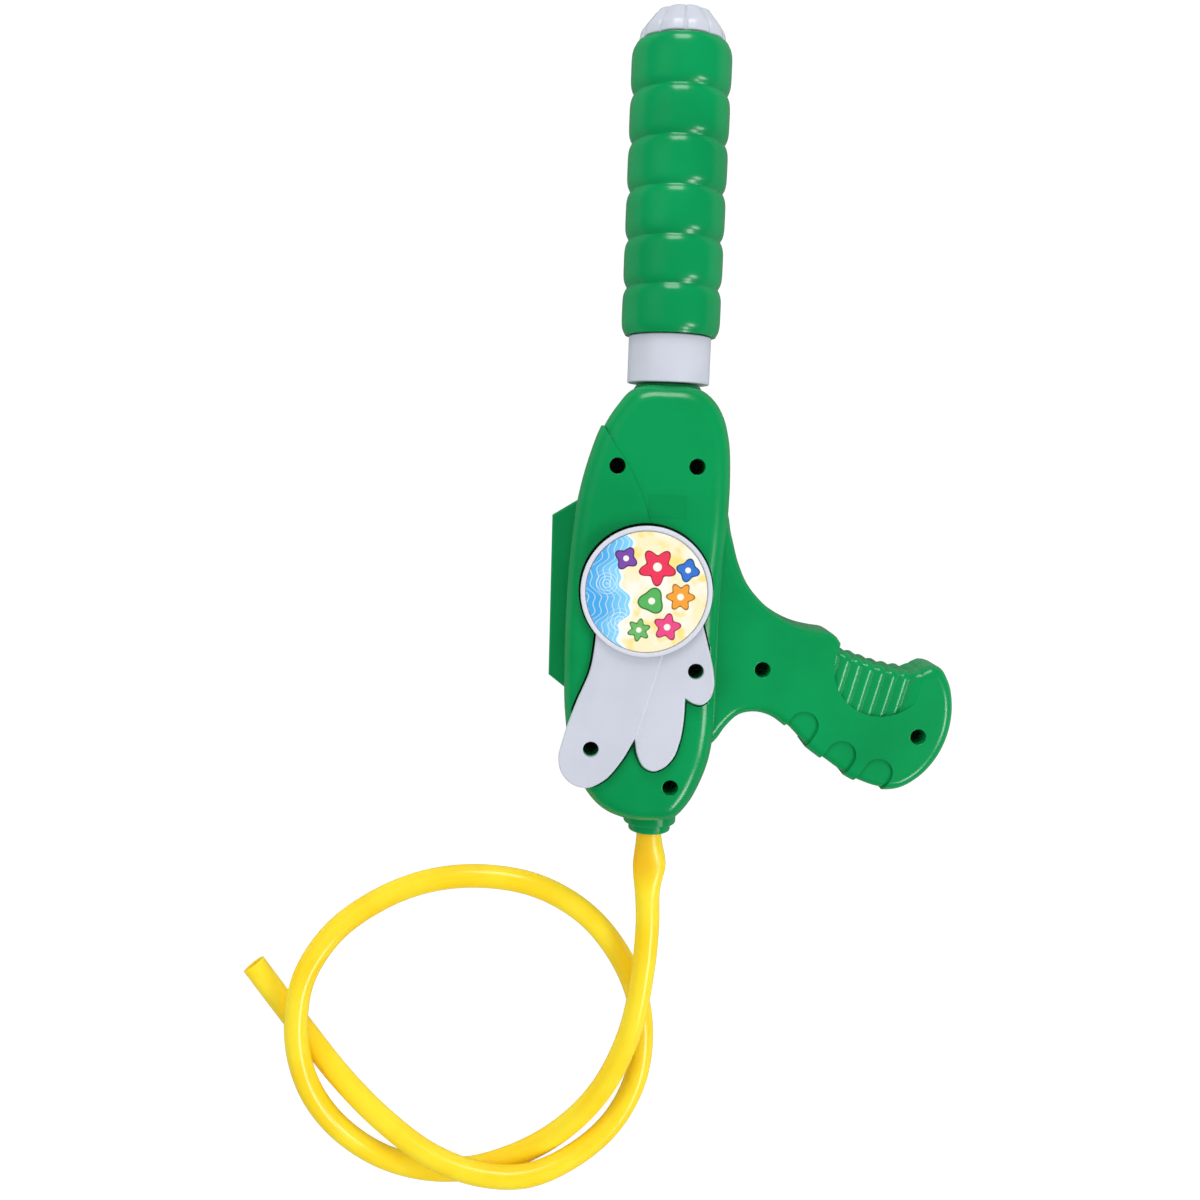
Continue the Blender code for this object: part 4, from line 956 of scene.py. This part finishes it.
def hollowOut(form, setup, relief, inner, screws):
    # the room inside, the ribs that carry the rod, and the screw bosses
    roof = setup["podHalf"] - setup["panelRise"] - setup["wall"]
    podInside = insetLoop(smoothLoop(setup["pod"], setup["hollowStep"]), setup["wall"])
    combine(form, "DIFFERENCE", slab(podInside, -roof, roof, setup["podEdge"] - setup["wall"],
                                     setup["smallSegments"]))
    gripWall = relief["thumbDepth"] + relief["ribDepth"] + relief["gripFloor"]
    gripRoof = setup["gripHalf"] - gripWall
    gripInside = insetLoop(smoothLoop(setup["grip"], setup["hollowStep"]), gripWall)
    combine(form, "DIFFERENCE", slab(gripInside, -gripRoof, gripRoof))

    barbRear = inner["rodRear"] - fit - inner["barbWall"]
    ribSize = (inner["cradleWidth"], inner["cradleThick"], 2 * roof + setup["wall"])
    ribs = bmesh.new()
    for flangeRear in (inner["flangeStation"], barbRear - inner["flangeLength"]):
        for station in (flangeRear - fit - inner["cradleThick"] / 2,
                        flangeRear + inner["flangeLength"] + fit + inner["cradleThick"] / 2):
            block(ribSize, (0, station, 0), into=ribs)
    bosses = bmesh.new()
    for x, y, face in screws["places"]:
        top = faceHeights[face] - setup["wall"] / 2 - setup["panelRise"]
        cylinder(screws["accessRadius"] + screws["bossWall"], -top, top, screws["bossSteps"],
                 (x * mm, y * mm), bosses)
    combine(form, "UNION", ribs, bosses)

    # the rooms are cut one by one, because a joint cut leaves open edges where they meet
    hubRoom, stemRoom = inner["barbHub"] + fit, inner["stemRadius"] + fit
    hoseRoom = hoseSetup["radius"] + fit
    hubFront = inner["rodRear"] + inner["barbSocket"] + fit
    hoseFront = outletEnd + setup["outletLength"] + setup["outletStepLength"]
    combine(form, "DIFFERENCE", cylinder(inner["rodRadius"] + fit, barbRear, neckEnd + 2 * fit,
                                         setup["roomSteps"]))
    combine(form, "DIFFERENCE", lathe([
        (0, hubFront), (hubRoom, hubFront), (hubRoom, barbRear), (stemRoom, barbRear),
        (stemRoom, hoseFront), (hoseRoom, hoseFront), (hoseRoom, outletEnd - fit),
        (0, outletEnd - fit)], setup["roomSteps"]))
    combine(form, "DIFFERENCE", thumbCutter(setup, relief))
    combine(form, "DIFFERENCE", fingerCutter(setup, relief))


def halfOf(form, name, side, setup):
    span = 2 * setup["podHalf"]
    middle = side * (span + setup["partingGap"]) / 2
    half = addObject(name, form.data.copy())
    return combine(half, "INTERSECT", block((1, 1, span), (0, 0, middle)))


def openWays(nearShell, farShell, setup, screws, pegs):
    # access holes and pilot holes for the screws, and the holes that take the plate's pegs
    seat = setup["partingGap"] / 2 + screws["bossFloor"]
    radius, flare = screws["accessRadius"], screws["rimRound"]
    shankRoom = screws["shankRadius"] + fit
    ways, pilots, holes = bmesh.new(), bmesh.new(), bmesh.new()
    for x, y, face in screws["places"]:
        top = faceHeights[face]
        lathe([(0, top + flare), (radius + flare, top + flare)]
              + roundedCorner(radius, top, flare, 1, -1, screws["roundSteps"])
              + [(radius, seat), (shankRoom, seat), (shankRoom, -fit), (0, -fit)],
              screws["steps"], (x * mm, y * mm), ways)
        cylinder(shankRoom, seat - screws["length"] - 2 * fit, fit, screws["shankSteps"],
                 (x * mm, y * mm), pilots)
    for x, y in pegs["places"]:
        cylinder(pegs["radius"] + fit, setup["podHalf"] - pegs["length"], 2 * setup["podHalf"],
                 pegs["steps"], (x * mm, y * mm), holes)
    combine(nearShell, "DIFFERENCE", ways, holes)
    combine(farShell, "DIFFERENCE", pilots)


def cutTrench(nearShell, setup):
    # the gap in which the plate and the badge lie
    floor, top, width = ringRadius - setup["trenchDepth"], ringRadius + fit, setup["trench"]
    outline = smoothLoop(setup["outline"], setup["trenchStep"])
    wide = [p for p in insetLoop(outline, -width)
            if min((p - q).length for q in outline) > setup["trenchKeep"] * width]
    kept = insetLoop(smoothLoop(setup["outline"], setup["step"]), -hair)
    lowered = [p - Vector((0, setup["trenchDrop"])) for p in wide]
    trench = asObject("trench", slab(lowered, floor, top))
    combine(trench, "UNION", cylinder(badgeRadius + width, floor, top, setup["steps"], badgeCentre))
    below, over = floor - hair, top + hair
    combine(trench, "DIFFERENCE", slab(kept, below, over),
            cylinder(setup["seatRadius"] + hair, below, over, setup["steps"], badgeCentre))
    combine(nearShell, "DIFFERENCE", trench)
    return outline, floor


def paintGapShade(nearShell, setup, outline, floor):
    # painted shade: little light comes back out of the gap, so its floor and walls are painted a
    # near-black green in place of that shade
    nearShell.data.materials.append(gapShadePlastic)
    spots = [Vector((p.x, p.y)) for p in outline]
    centre, margin = Vector(badgeCentre), setup["gapMargin"]
    plateReach = setup["trench"] + setup["trenchDrop"] + margin
    badgeReach = badgeRadius + setup["trench"] + margin
    for polygon in nearShell.data.polygons:
        place, level = polygon.center.xy, polygon.center.z - axisHeight
        isFloor = abs(level - floor) < hair
        isWall = abs(polygon.normal.z) < setup["gapSteepness"] and floor < level < ringRadius
        if not (isFloor or isWall):
            continue
        nearBadge = setup["seatRadius"] - margin < (place - centre).length < badgeReach
        if nearBadge or min((place - p).length for p in spots) < plateReach:
            polygon.material_index = 1


def makeShells():
    form = outerForm(shellSetup)
    print("outer form ready")
    hollowOut(form, shellSetup, reliefSetup, innerSetup, screwSetup)
    print("hollow and relief ready")
    nearShell = halfOf(form, "gunShellNear", 1, shellSetup)
    farShell = halfOf(form, "gunShellFar", -1, shellSetup)
    discard(form)
    openWays(nearShell, farShell, shellSetup, screwSetup, pegSetup)
    outline, floor = cutTrench(nearShell, wingSetup)
    dress(nearShell, shellPlastic, "gun", ["near_shell"])
    paintGapShade(nearShell, wingSetup, outline, floor)
    dress(farShell, greenPlastic, "gun", ["far_shell"])


makeShells()


# The seven screws, each with a cross recess
def makeScrews(setup):
    seat = shellSetup["partingGap"] / 2 + setup["bossFloor"] + fit
    top, end = seat + setup["headHeight"], seat - setup["length"]
    shank, long, wide = setup["shankRadius"], setup["crossLength"], setup["crossWidth"]
    profile = ([(0, top)] + roundedCorner(setup["headRadius"], top, setup["headRound"], -1, -1,
                                          setup["roundSteps"])
               + [(setup["headRadius"], seat), (shank, seat), (shank, end + shank), (0, end)])
    for i, (x, y, face) in enumerate(setup["places"], 1):
        screw = asObject("shellScrew%d" % i, lathe(profile, setup["steps"], (x * mm, y * mm)))
        turn = i * setup["crossTurn"]
        bars = [block((*size, 2 * setup["crossDepth"]), (x * mm, y * mm, top), turn)
                for size in ((long, wide), (wide, long))]
        combine(screw, "DIFFERENCE", *bars)
        dress(screw, screwSteel, "gun", ["shell_screw_%d" % i])


makeScrews(screwSetup)


# The wing plate
def makeWingPlate(setup, screws, pegs):
    low = ringRadius + fit
    high = low + setup["thick"]
    outline = smoothLoop(setup["outline"], setup["step"])
    plate = asObject("wingPlate", slab(outline, low, high, setup["edge"], setup["segments"]))
    seat = cylinder(setup["seatRadius"], low + hair, high - hair, setup["steps"], badgeCentre)
    pins = bmesh.new()
    for x, y in pegs["places"]:
        cylinder(pegs["radius"], low - pegs["length"], low + fit, pegs["steps"],
                 (x * mm, y * mm), pins)
    combine(plate, "UNION", seat, pins)

    # the seam: a small sloped step beside the left feather, and a long rise back to the face
    start, end = (Vector(p) * mm for p in setup["seam"])
    along = (end - start).normalized()
    right = Vector((along.y, -along.x))
    start -= along * setup["seamLead"]
    section = [(-hair, high + hair), (setup["seamWidth"], high - setup["seamDrop"]),
               (setup["seamRise"], high + hair)]
    seam = bmesh.new()
    face = seam.faces.new([seam.verts.new((*(start + right * side), z)) for side, z in section])
    pulled = bmesh.ops.extrude_face_region(seam, geom=[face])["geom"]
    far = [v for v in pulled if isinstance(v, bmesh.types.BMVert)]
    bmesh.ops.translate(seam, vec=(*(end - start), 0), verts=far)
    bmesh.ops.recalc_face_normals(seam, faces=seam.faces)
    combine(plate, "DIFFERENCE", seam)

    holes = bmesh.new()
    radius, flare = screws["accessRadius"], setup["rimRound"]
    for i in screws["underPlate"]:
        x, y, face = screws["places"][i]
        lathe([(0, high + flare), (radius + flare, high + flare)]
              + roundedCorner(radius, high, flare, 1, -1, setup["roundSteps"])
              + [(radius, low - fit), (0, low - fit)], screws["steps"], (x * mm, y * mm), holes)
    combine(plate, "DIFFERENCE", holes)
    dress(plate, greyPlastic, "gun", ["wing_plate"],
          sharp=setup["sharpAngle"])


makeWingPlate(wingSetup, screwSetup, pegSetup)

# The badge: a disc with a raised rim, and the print in its recess
badgeSetup = {
    "rim": 2.0 * mm,
    "recess": 0.9 * mm,
    "round": 0.7 * mm,
    "roundSteps": 6,
    "labelThick": 0.4 * mm,
    "steps": 160,
}


def makeBadge(setup):
    low, high = badgeLow.z - axisHeight, badgeHigh.z - axisHeight
    floor, inner = high - setup["recess"], badgeRadius - setup["rim"]
    soft, steps = setup["round"], setup["roundSteps"]
    disc = asObject("badgeDisc", lathe(
        [(0, floor), (inner, floor)]
        + roundedCorner(inner, high, soft, 1, -1, steps)[::-1]
        + roundedCorner(badgeRadius, high, soft, -1, -1, steps)
        + [(badgeRadius, low), (0, low)], setup["steps"], badgeCentre))
    dress(disc, whitePlastic, "gun", ["badge_disc"])
    labelLow = floor + fit
    label = asObject("badgeLabel", cylinder(inner - fit, labelLow, labelLow + setup["labelThick"],
                                            setup["steps"], badgeCentre))
    dress(label, badgePrint, "gun", ["badge_label"])


makeBadge(badgeSetup)

# The pump's sleeve with its six rings
sleeveSetup = {
    "rings": 6,
    "ringDepth": 1.6 * mm,
    "ringPower": 5,
    "valleySoft": 0.2,              # rounding at the bottom of the valleys
    "wall": 2.2 * mm,
    "lip": 2.5 * mm,
    "lipRadius": 14.8 * mm,
    "perRing": 40,
    "steps": 128,
}


def makeSleeve(setup):
    rear, front = sleeveLow.y, sleeveHigh.y
    pitch = (front - rear) / setup["rings"]
    soft = setup["valleySoft"]
    top = math.sqrt(1 + soft * soft) - soft
    profile = []
    count = setup["rings"] * setup["perRing"]
    for k in range(count, -1, -1):
        station = k / setup["perRing"]
        share = 2 * (station % 1.0) - 1 if k not in (0, count) else 1.0
        rise = 1 - abs(share) ** setup["ringPower"]
        fall = setup["ringDepth"] * (1 - (math.sqrt(rise * rise + soft * soft) - soft) / top)
        profile.append((ringRadius - fall, rear + station * pitch))
    inner = ringRadius - setup["ringDepth"] - setup["wall"]
    lip, lipRadius = setup["lip"], setup["lipRadius"]
    profile += [(lipRadius, rear), (lipRadius, rear + lip), (inner, rear + lip),
                (inner, front - lip), (lipRadius, front - lip), (lipRadius, front)]
    sleeve = asObject("pumpSleeve", lathe(profile, setup["steps"]))
    dress(sleeve, greenPlastic, "pump", ["pump_grip"])


makeSleeve(sleeveSetup)

# The collar behind the sleeve
collarSetup = {
    "bevel": 0.6 * mm,
    "wall": 3.0 * mm,
    "skirt": 2.6 * mm,
    "rodRoom": 6.4 * mm,
    "steps": 128,
}


def makeCollar(setup):
    rear, front, radius = collarLow.y, collarHigh.y, collarHigh.x
    bevel, rodRoom = setup["bevel"], setup["rodRoom"]
    bore, floor = radius - setup["skirt"], rear + setup["wall"]
    collar = asObject("pumpCollar", lathe(
        roundedCorner(radius, front, bevel, -1, -1)
        + roundedCorner(radius, rear, bevel, -1, 1)[::-1]
        + [(rodRoom, rear), (rodRoom, floor), (bore, floor), (bore, front)], setup["steps"]))
    dress(collar, greyPlastic, "pump", ["cylinder_collar"])


makeCollar(collarSetup)

# The nozzle cap, a crown of petals
capSetup = {
    # the outline in millimetres, each a radius and the distance behind the front face
    "frontEdge": [(10.6, 0.0), (11.2, 0.08), (11.75, 0.4), (12.15, 0.95)],
    # or the distance ahead of the rear face
    "shoulder": [(16.7, 6.0), (17.25, 5.1), (17.55, 4.2), (17.75, 3.0), (17.95, 1.6), (18.0, 1.1),
                 (17.85, 0.9), (16.7, 0.8), (16.7, 0.0)],
    "coneSteps": 8,
    "petals": 10,
    "petalBulge": 0.6 * mm,
    "petalGroove": 0.65 * mm,
    "grooveSharpness": 60,
    "bore": 14.8 * mm,
    "mouth": 1.3 * mm,
    "inside": 9.3 * mm,
    "face": 2.0 * mm,
    "tipRoom": 4.3 * mm,
    "steps": 400,
    "sharpAngle": 50,               # degrees
}


def makeCap(setup):
    rear, front = capLow.y, capHigh.y
    outside = [(radius * mm, front - back * mm) for radius, back in setup["frontEdge"]]
    shoulder = [(radius * mm, rear + ahead * mm) for radius, ahead in setup["shoulder"]]
    tip, foot = outside[-1], shoulder[0]
    for k in range(1, setup["coneSteps"]):
        share = k / setup["coneSteps"]
        outside.append((tip[0] + (foot[0] - tip[0]) * share, tip[1] + (foot[1] - tip[1]) * share))
    outside += shoulder
    bore, inside, tipRoom = setup["bore"], setup["inside"], setup["tipRoom"]
    mouth, face = rear + setup["mouth"], front - setup["face"]
    bm = lathe([(tipRoom, front)] + outside
               + [(bore, rear), (bore, mouth), (inside, mouth), (inside, face), (tipRoom, face)],
               setup["steps"])
    half = setup["petals"] / 2
    for v in bm.verts:
        reach = math.hypot(v.co.x, v.co.z)
        inMouth = reach < bore + hair and v.co.y < mouth + hair
        if inMouth or reach < inside + hair:
            continue
        between = abs(math.cos(half * (math.atan2(v.co.z, v.co.x) - math.pi / 2)))
        inward = (setup["petalBulge"] * between ** 2
                  + setup["petalGroove"] * between ** setup["grooveSharpness"])
        scale = 1 - inward / reach
        v.co.x *= scale
        v.co.z *= scale
    cap = asObject("nozzleCap", bm)
    dress(cap, capPlastic, "pump", ["nozzle_cap"],
          sharp=setup["sharpAngle"])


makeCap(capSetup)

# The tip inside the cap, with the water jet's hole
tipSetup = {
    "radius": 4.0 * mm,
    "proud": 0.4 * mm,
    "orifice": 0.8 * mm,
    "orificeLength": 2.0 * mm,
    "bore": 1.6 * mm,
    "stem": 2.9 * mm,
    "flange": 8.7 * mm,
    "flangeThick": 1.2 * mm,
    "steps": 64,
}


def makeTip(setup):
    radius, flange, stem = setup["radius"], setup["flange"], setup["stem"]
    orifice, bore = setup["orifice"], setup["bore"]
    throat = tipHigh.y - setup["orificeLength"]
    flangeFront = capHigh.y - capSetup["face"] - fit
    flangeRear = flangeFront - setup["flangeThick"]
    tip = asObject("nozzleTip", lathe(
        roundedCorner(radius, tipHigh.y, setup["proud"], -1, -1)
        + [(radius, flangeFront), (flange, flangeFront), (flange, flangeRear), (stem, flangeRear),
           (stem, tipLow.y), (bore, tipLow.y), (bore, throat), (orifice, throat),
           (orifice, tipHigh.y)], setup["steps"]))
    dress(tip, whitePlastic, "pump", ["nozzle_tip"])


makeTip(tipSetup)


# The rod that the pump slides on
def makeRod(setup):
    radius, bore, flange = setup["rodRadius"], setup["rodBore"], setup["flangeRadius"]
    flangeRear = setup["flangeStation"]
    flangeFront = flangeRear + setup["flangeLength"]
    rod = asObject("pistonRod", lathe([
        (radius, rodHigh.y), (radius, flangeFront), (flange, flangeFront), (flange, flangeRear),
        (radius, flangeRear), (radius, rodLow.y), (bore, rodLow.y), (bore, rodHigh.y)],
        setup["steps"]))
    dress(rod, greyPlastic, "gun", ["rod_tube"])


makeRod(innerSetup)

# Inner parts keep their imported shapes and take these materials
innerMaterials = {
    "hose_barb": whitePlastic, "piston_head": whitePlastic, "inlet_cage": whitePlastic,
    "pump_cylinder": whitePlastic, "rod_bush": whitePlastic, "piston_oring": blackRubber,
    "nozzle_gasket": blackRubber, "inlet_ball": screwSteel, "outlet_ball": screwSteel,
}
for name, material in innerMaterials.items():
    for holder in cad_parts[name].material_slots:
        holder.material = material
print("inner parts have their materials")

# Floor, surroundings and lamps
stageSetup = {
    "floorSize": 6.0,
    "floorGlow": 0.92,              # what the camera sees of the floor without the lamps
    "floorDiffuse": 0.16,
    "floorShade": 0.95,             # what it sends back to the object
    "floorMirrored": 0.22,          # and what glossy faces see of it
    "fill": 0.62,                   # soft light from all around
    "above": 0.0,                   # what glossy faces see overhead
    "around": 0.3,                  # and low down, all around
    "horizon": (-0.05, 0.12),       # heights between which the two meet
    "aim": (0, 0.03, axisHeight),
    "lampDistance": 1.3,
    "lamps": [
        # name, direction, size, watts, whether glossy faces mirror it
        ("topSoftbox", (-0.03, 0.85, 0.53), (0.55, 0.55), 6.5, True),
        ("rightLampA", (0.70, -0.26, 0.66), (0.3, 0.4), 3.8, True),
        ("rightLampB", (0.52, -0.60, 0.61), (0.3, 0.3), 3.4, True),
        ("leftFill", (-0.66, 0.25, 0.71), (0.9, 0.9), 4.0, False),
    ],
}


def makeFloor(setup):
    bm = bmesh.new()
    bmesh.ops.create_grid(bm, x_segments=1, y_segments=1, size=setup["floorSize"] / 2)
    floor = asObject("paleFloor", bm)
    material, tree, shader = newMaterial("paleFloor")
    tree.nodes.remove(shader)
    rays = tree.nodes.new("ShaderNodeLightPath").outputs
    seen = calc(tree, "MAXIMUM", rays["Is Camera Ray"], rays["Is Transmission Ray"])
    plain = tree.nodes.new("ShaderNodeBsdfDiffuse")
    tree.links.new(mixColors(tree, rays["Is Glossy Ray"], (setup["floorShade"],) * 3,
                             (setup["floorMirrored"],) * 3), plain.inputs["Color"])
    faint = tree.nodes.new("ShaderNodeBsdfDiffuse")
    faint.inputs["Color"].default_value = (*[setup["floorDiffuse"]] * 3, 1)
    glow = tree.nodes.new("ShaderNodeEmission")
    glow.inputs["Strength"].default_value = setup["floorGlow"]
    both = tree.nodes.new("ShaderNodeAddShader")
    tree.links.new(faint.outputs[0], both.inputs[0])
    tree.links.new(glow.outputs[0], both.inputs[1])
    choice = tree.nodes.new("ShaderNodeMixShader")
    tree.links.new(seen, choice.inputs[0])
    tree.links.new(plain.outputs[0], choice.inputs[1])
    tree.links.new(both.outputs[0], choice.inputs[2])
    tree.links.new(choice.outputs[0], tree.nodes["Material Output"].inputs["Surface"])
    floor.data.materials.append(material)


def makeSurroundings(setup):
    world = bpy.data.worlds.new("paleRoom")
    bpy.context.scene.world = world
    world.use_nodes = True
    tree = world.node_tree
    background = tree.nodes["Background"]
    rays = tree.nodes.new("ShaderNodeLightPath").outputs
    height = axesOf(tree, tree.nodes.new("ShaderNodeTexCoord").outputs["Generated"])[2]
    mirrored = fade(tree, height, *setup["horizon"], setup["around"], setup["above"])
    glossy = calc(tree, "MAXIMUM", rays["Is Glossy Ray"], rays["Is Transmission Ray"])
    level = calc(tree, "ADD", calc(tree, "MULTIPLY", glossy, mirrored),
                 calc(tree, "MULTIPLY", calc(tree, "SUBTRACT", 1.0, glossy), setup["fill"]))
    level = calc(tree, "MAXIMUM", level, rays["Is Camera Ray"])
    tree.links.new(level, background.inputs["Strength"])
    background.inputs["Color"].default_value = (1, 1, 1, 1)


def makeLamps(setup):
    for name, direction, size, watts, mirrored in setup["lamps"]:
        data = bpy.data.lights.new(name, "AREA")
        data.shape = "RECTANGLE"
        data.size, data.size_y = size
        data.energy = watts
        lamp = addObject(name, data)
        toward = Vector(direction).normalized()
        lamp.visible_glossy = mirrored
        lamp.location = Vector(setup["aim"]) + toward * setup["lampDistance"]
        lamp.rotation_euler = toward.to_track_quat("Z", "Y").to_euler()


makeFloor(stageSetup)
makeSurroundings(stageSetup)
makeLamps(stageSetup)
bpy.context.scene.view_settings.view_transform = "Standard"
print("floor, surroundings and lamps ready")
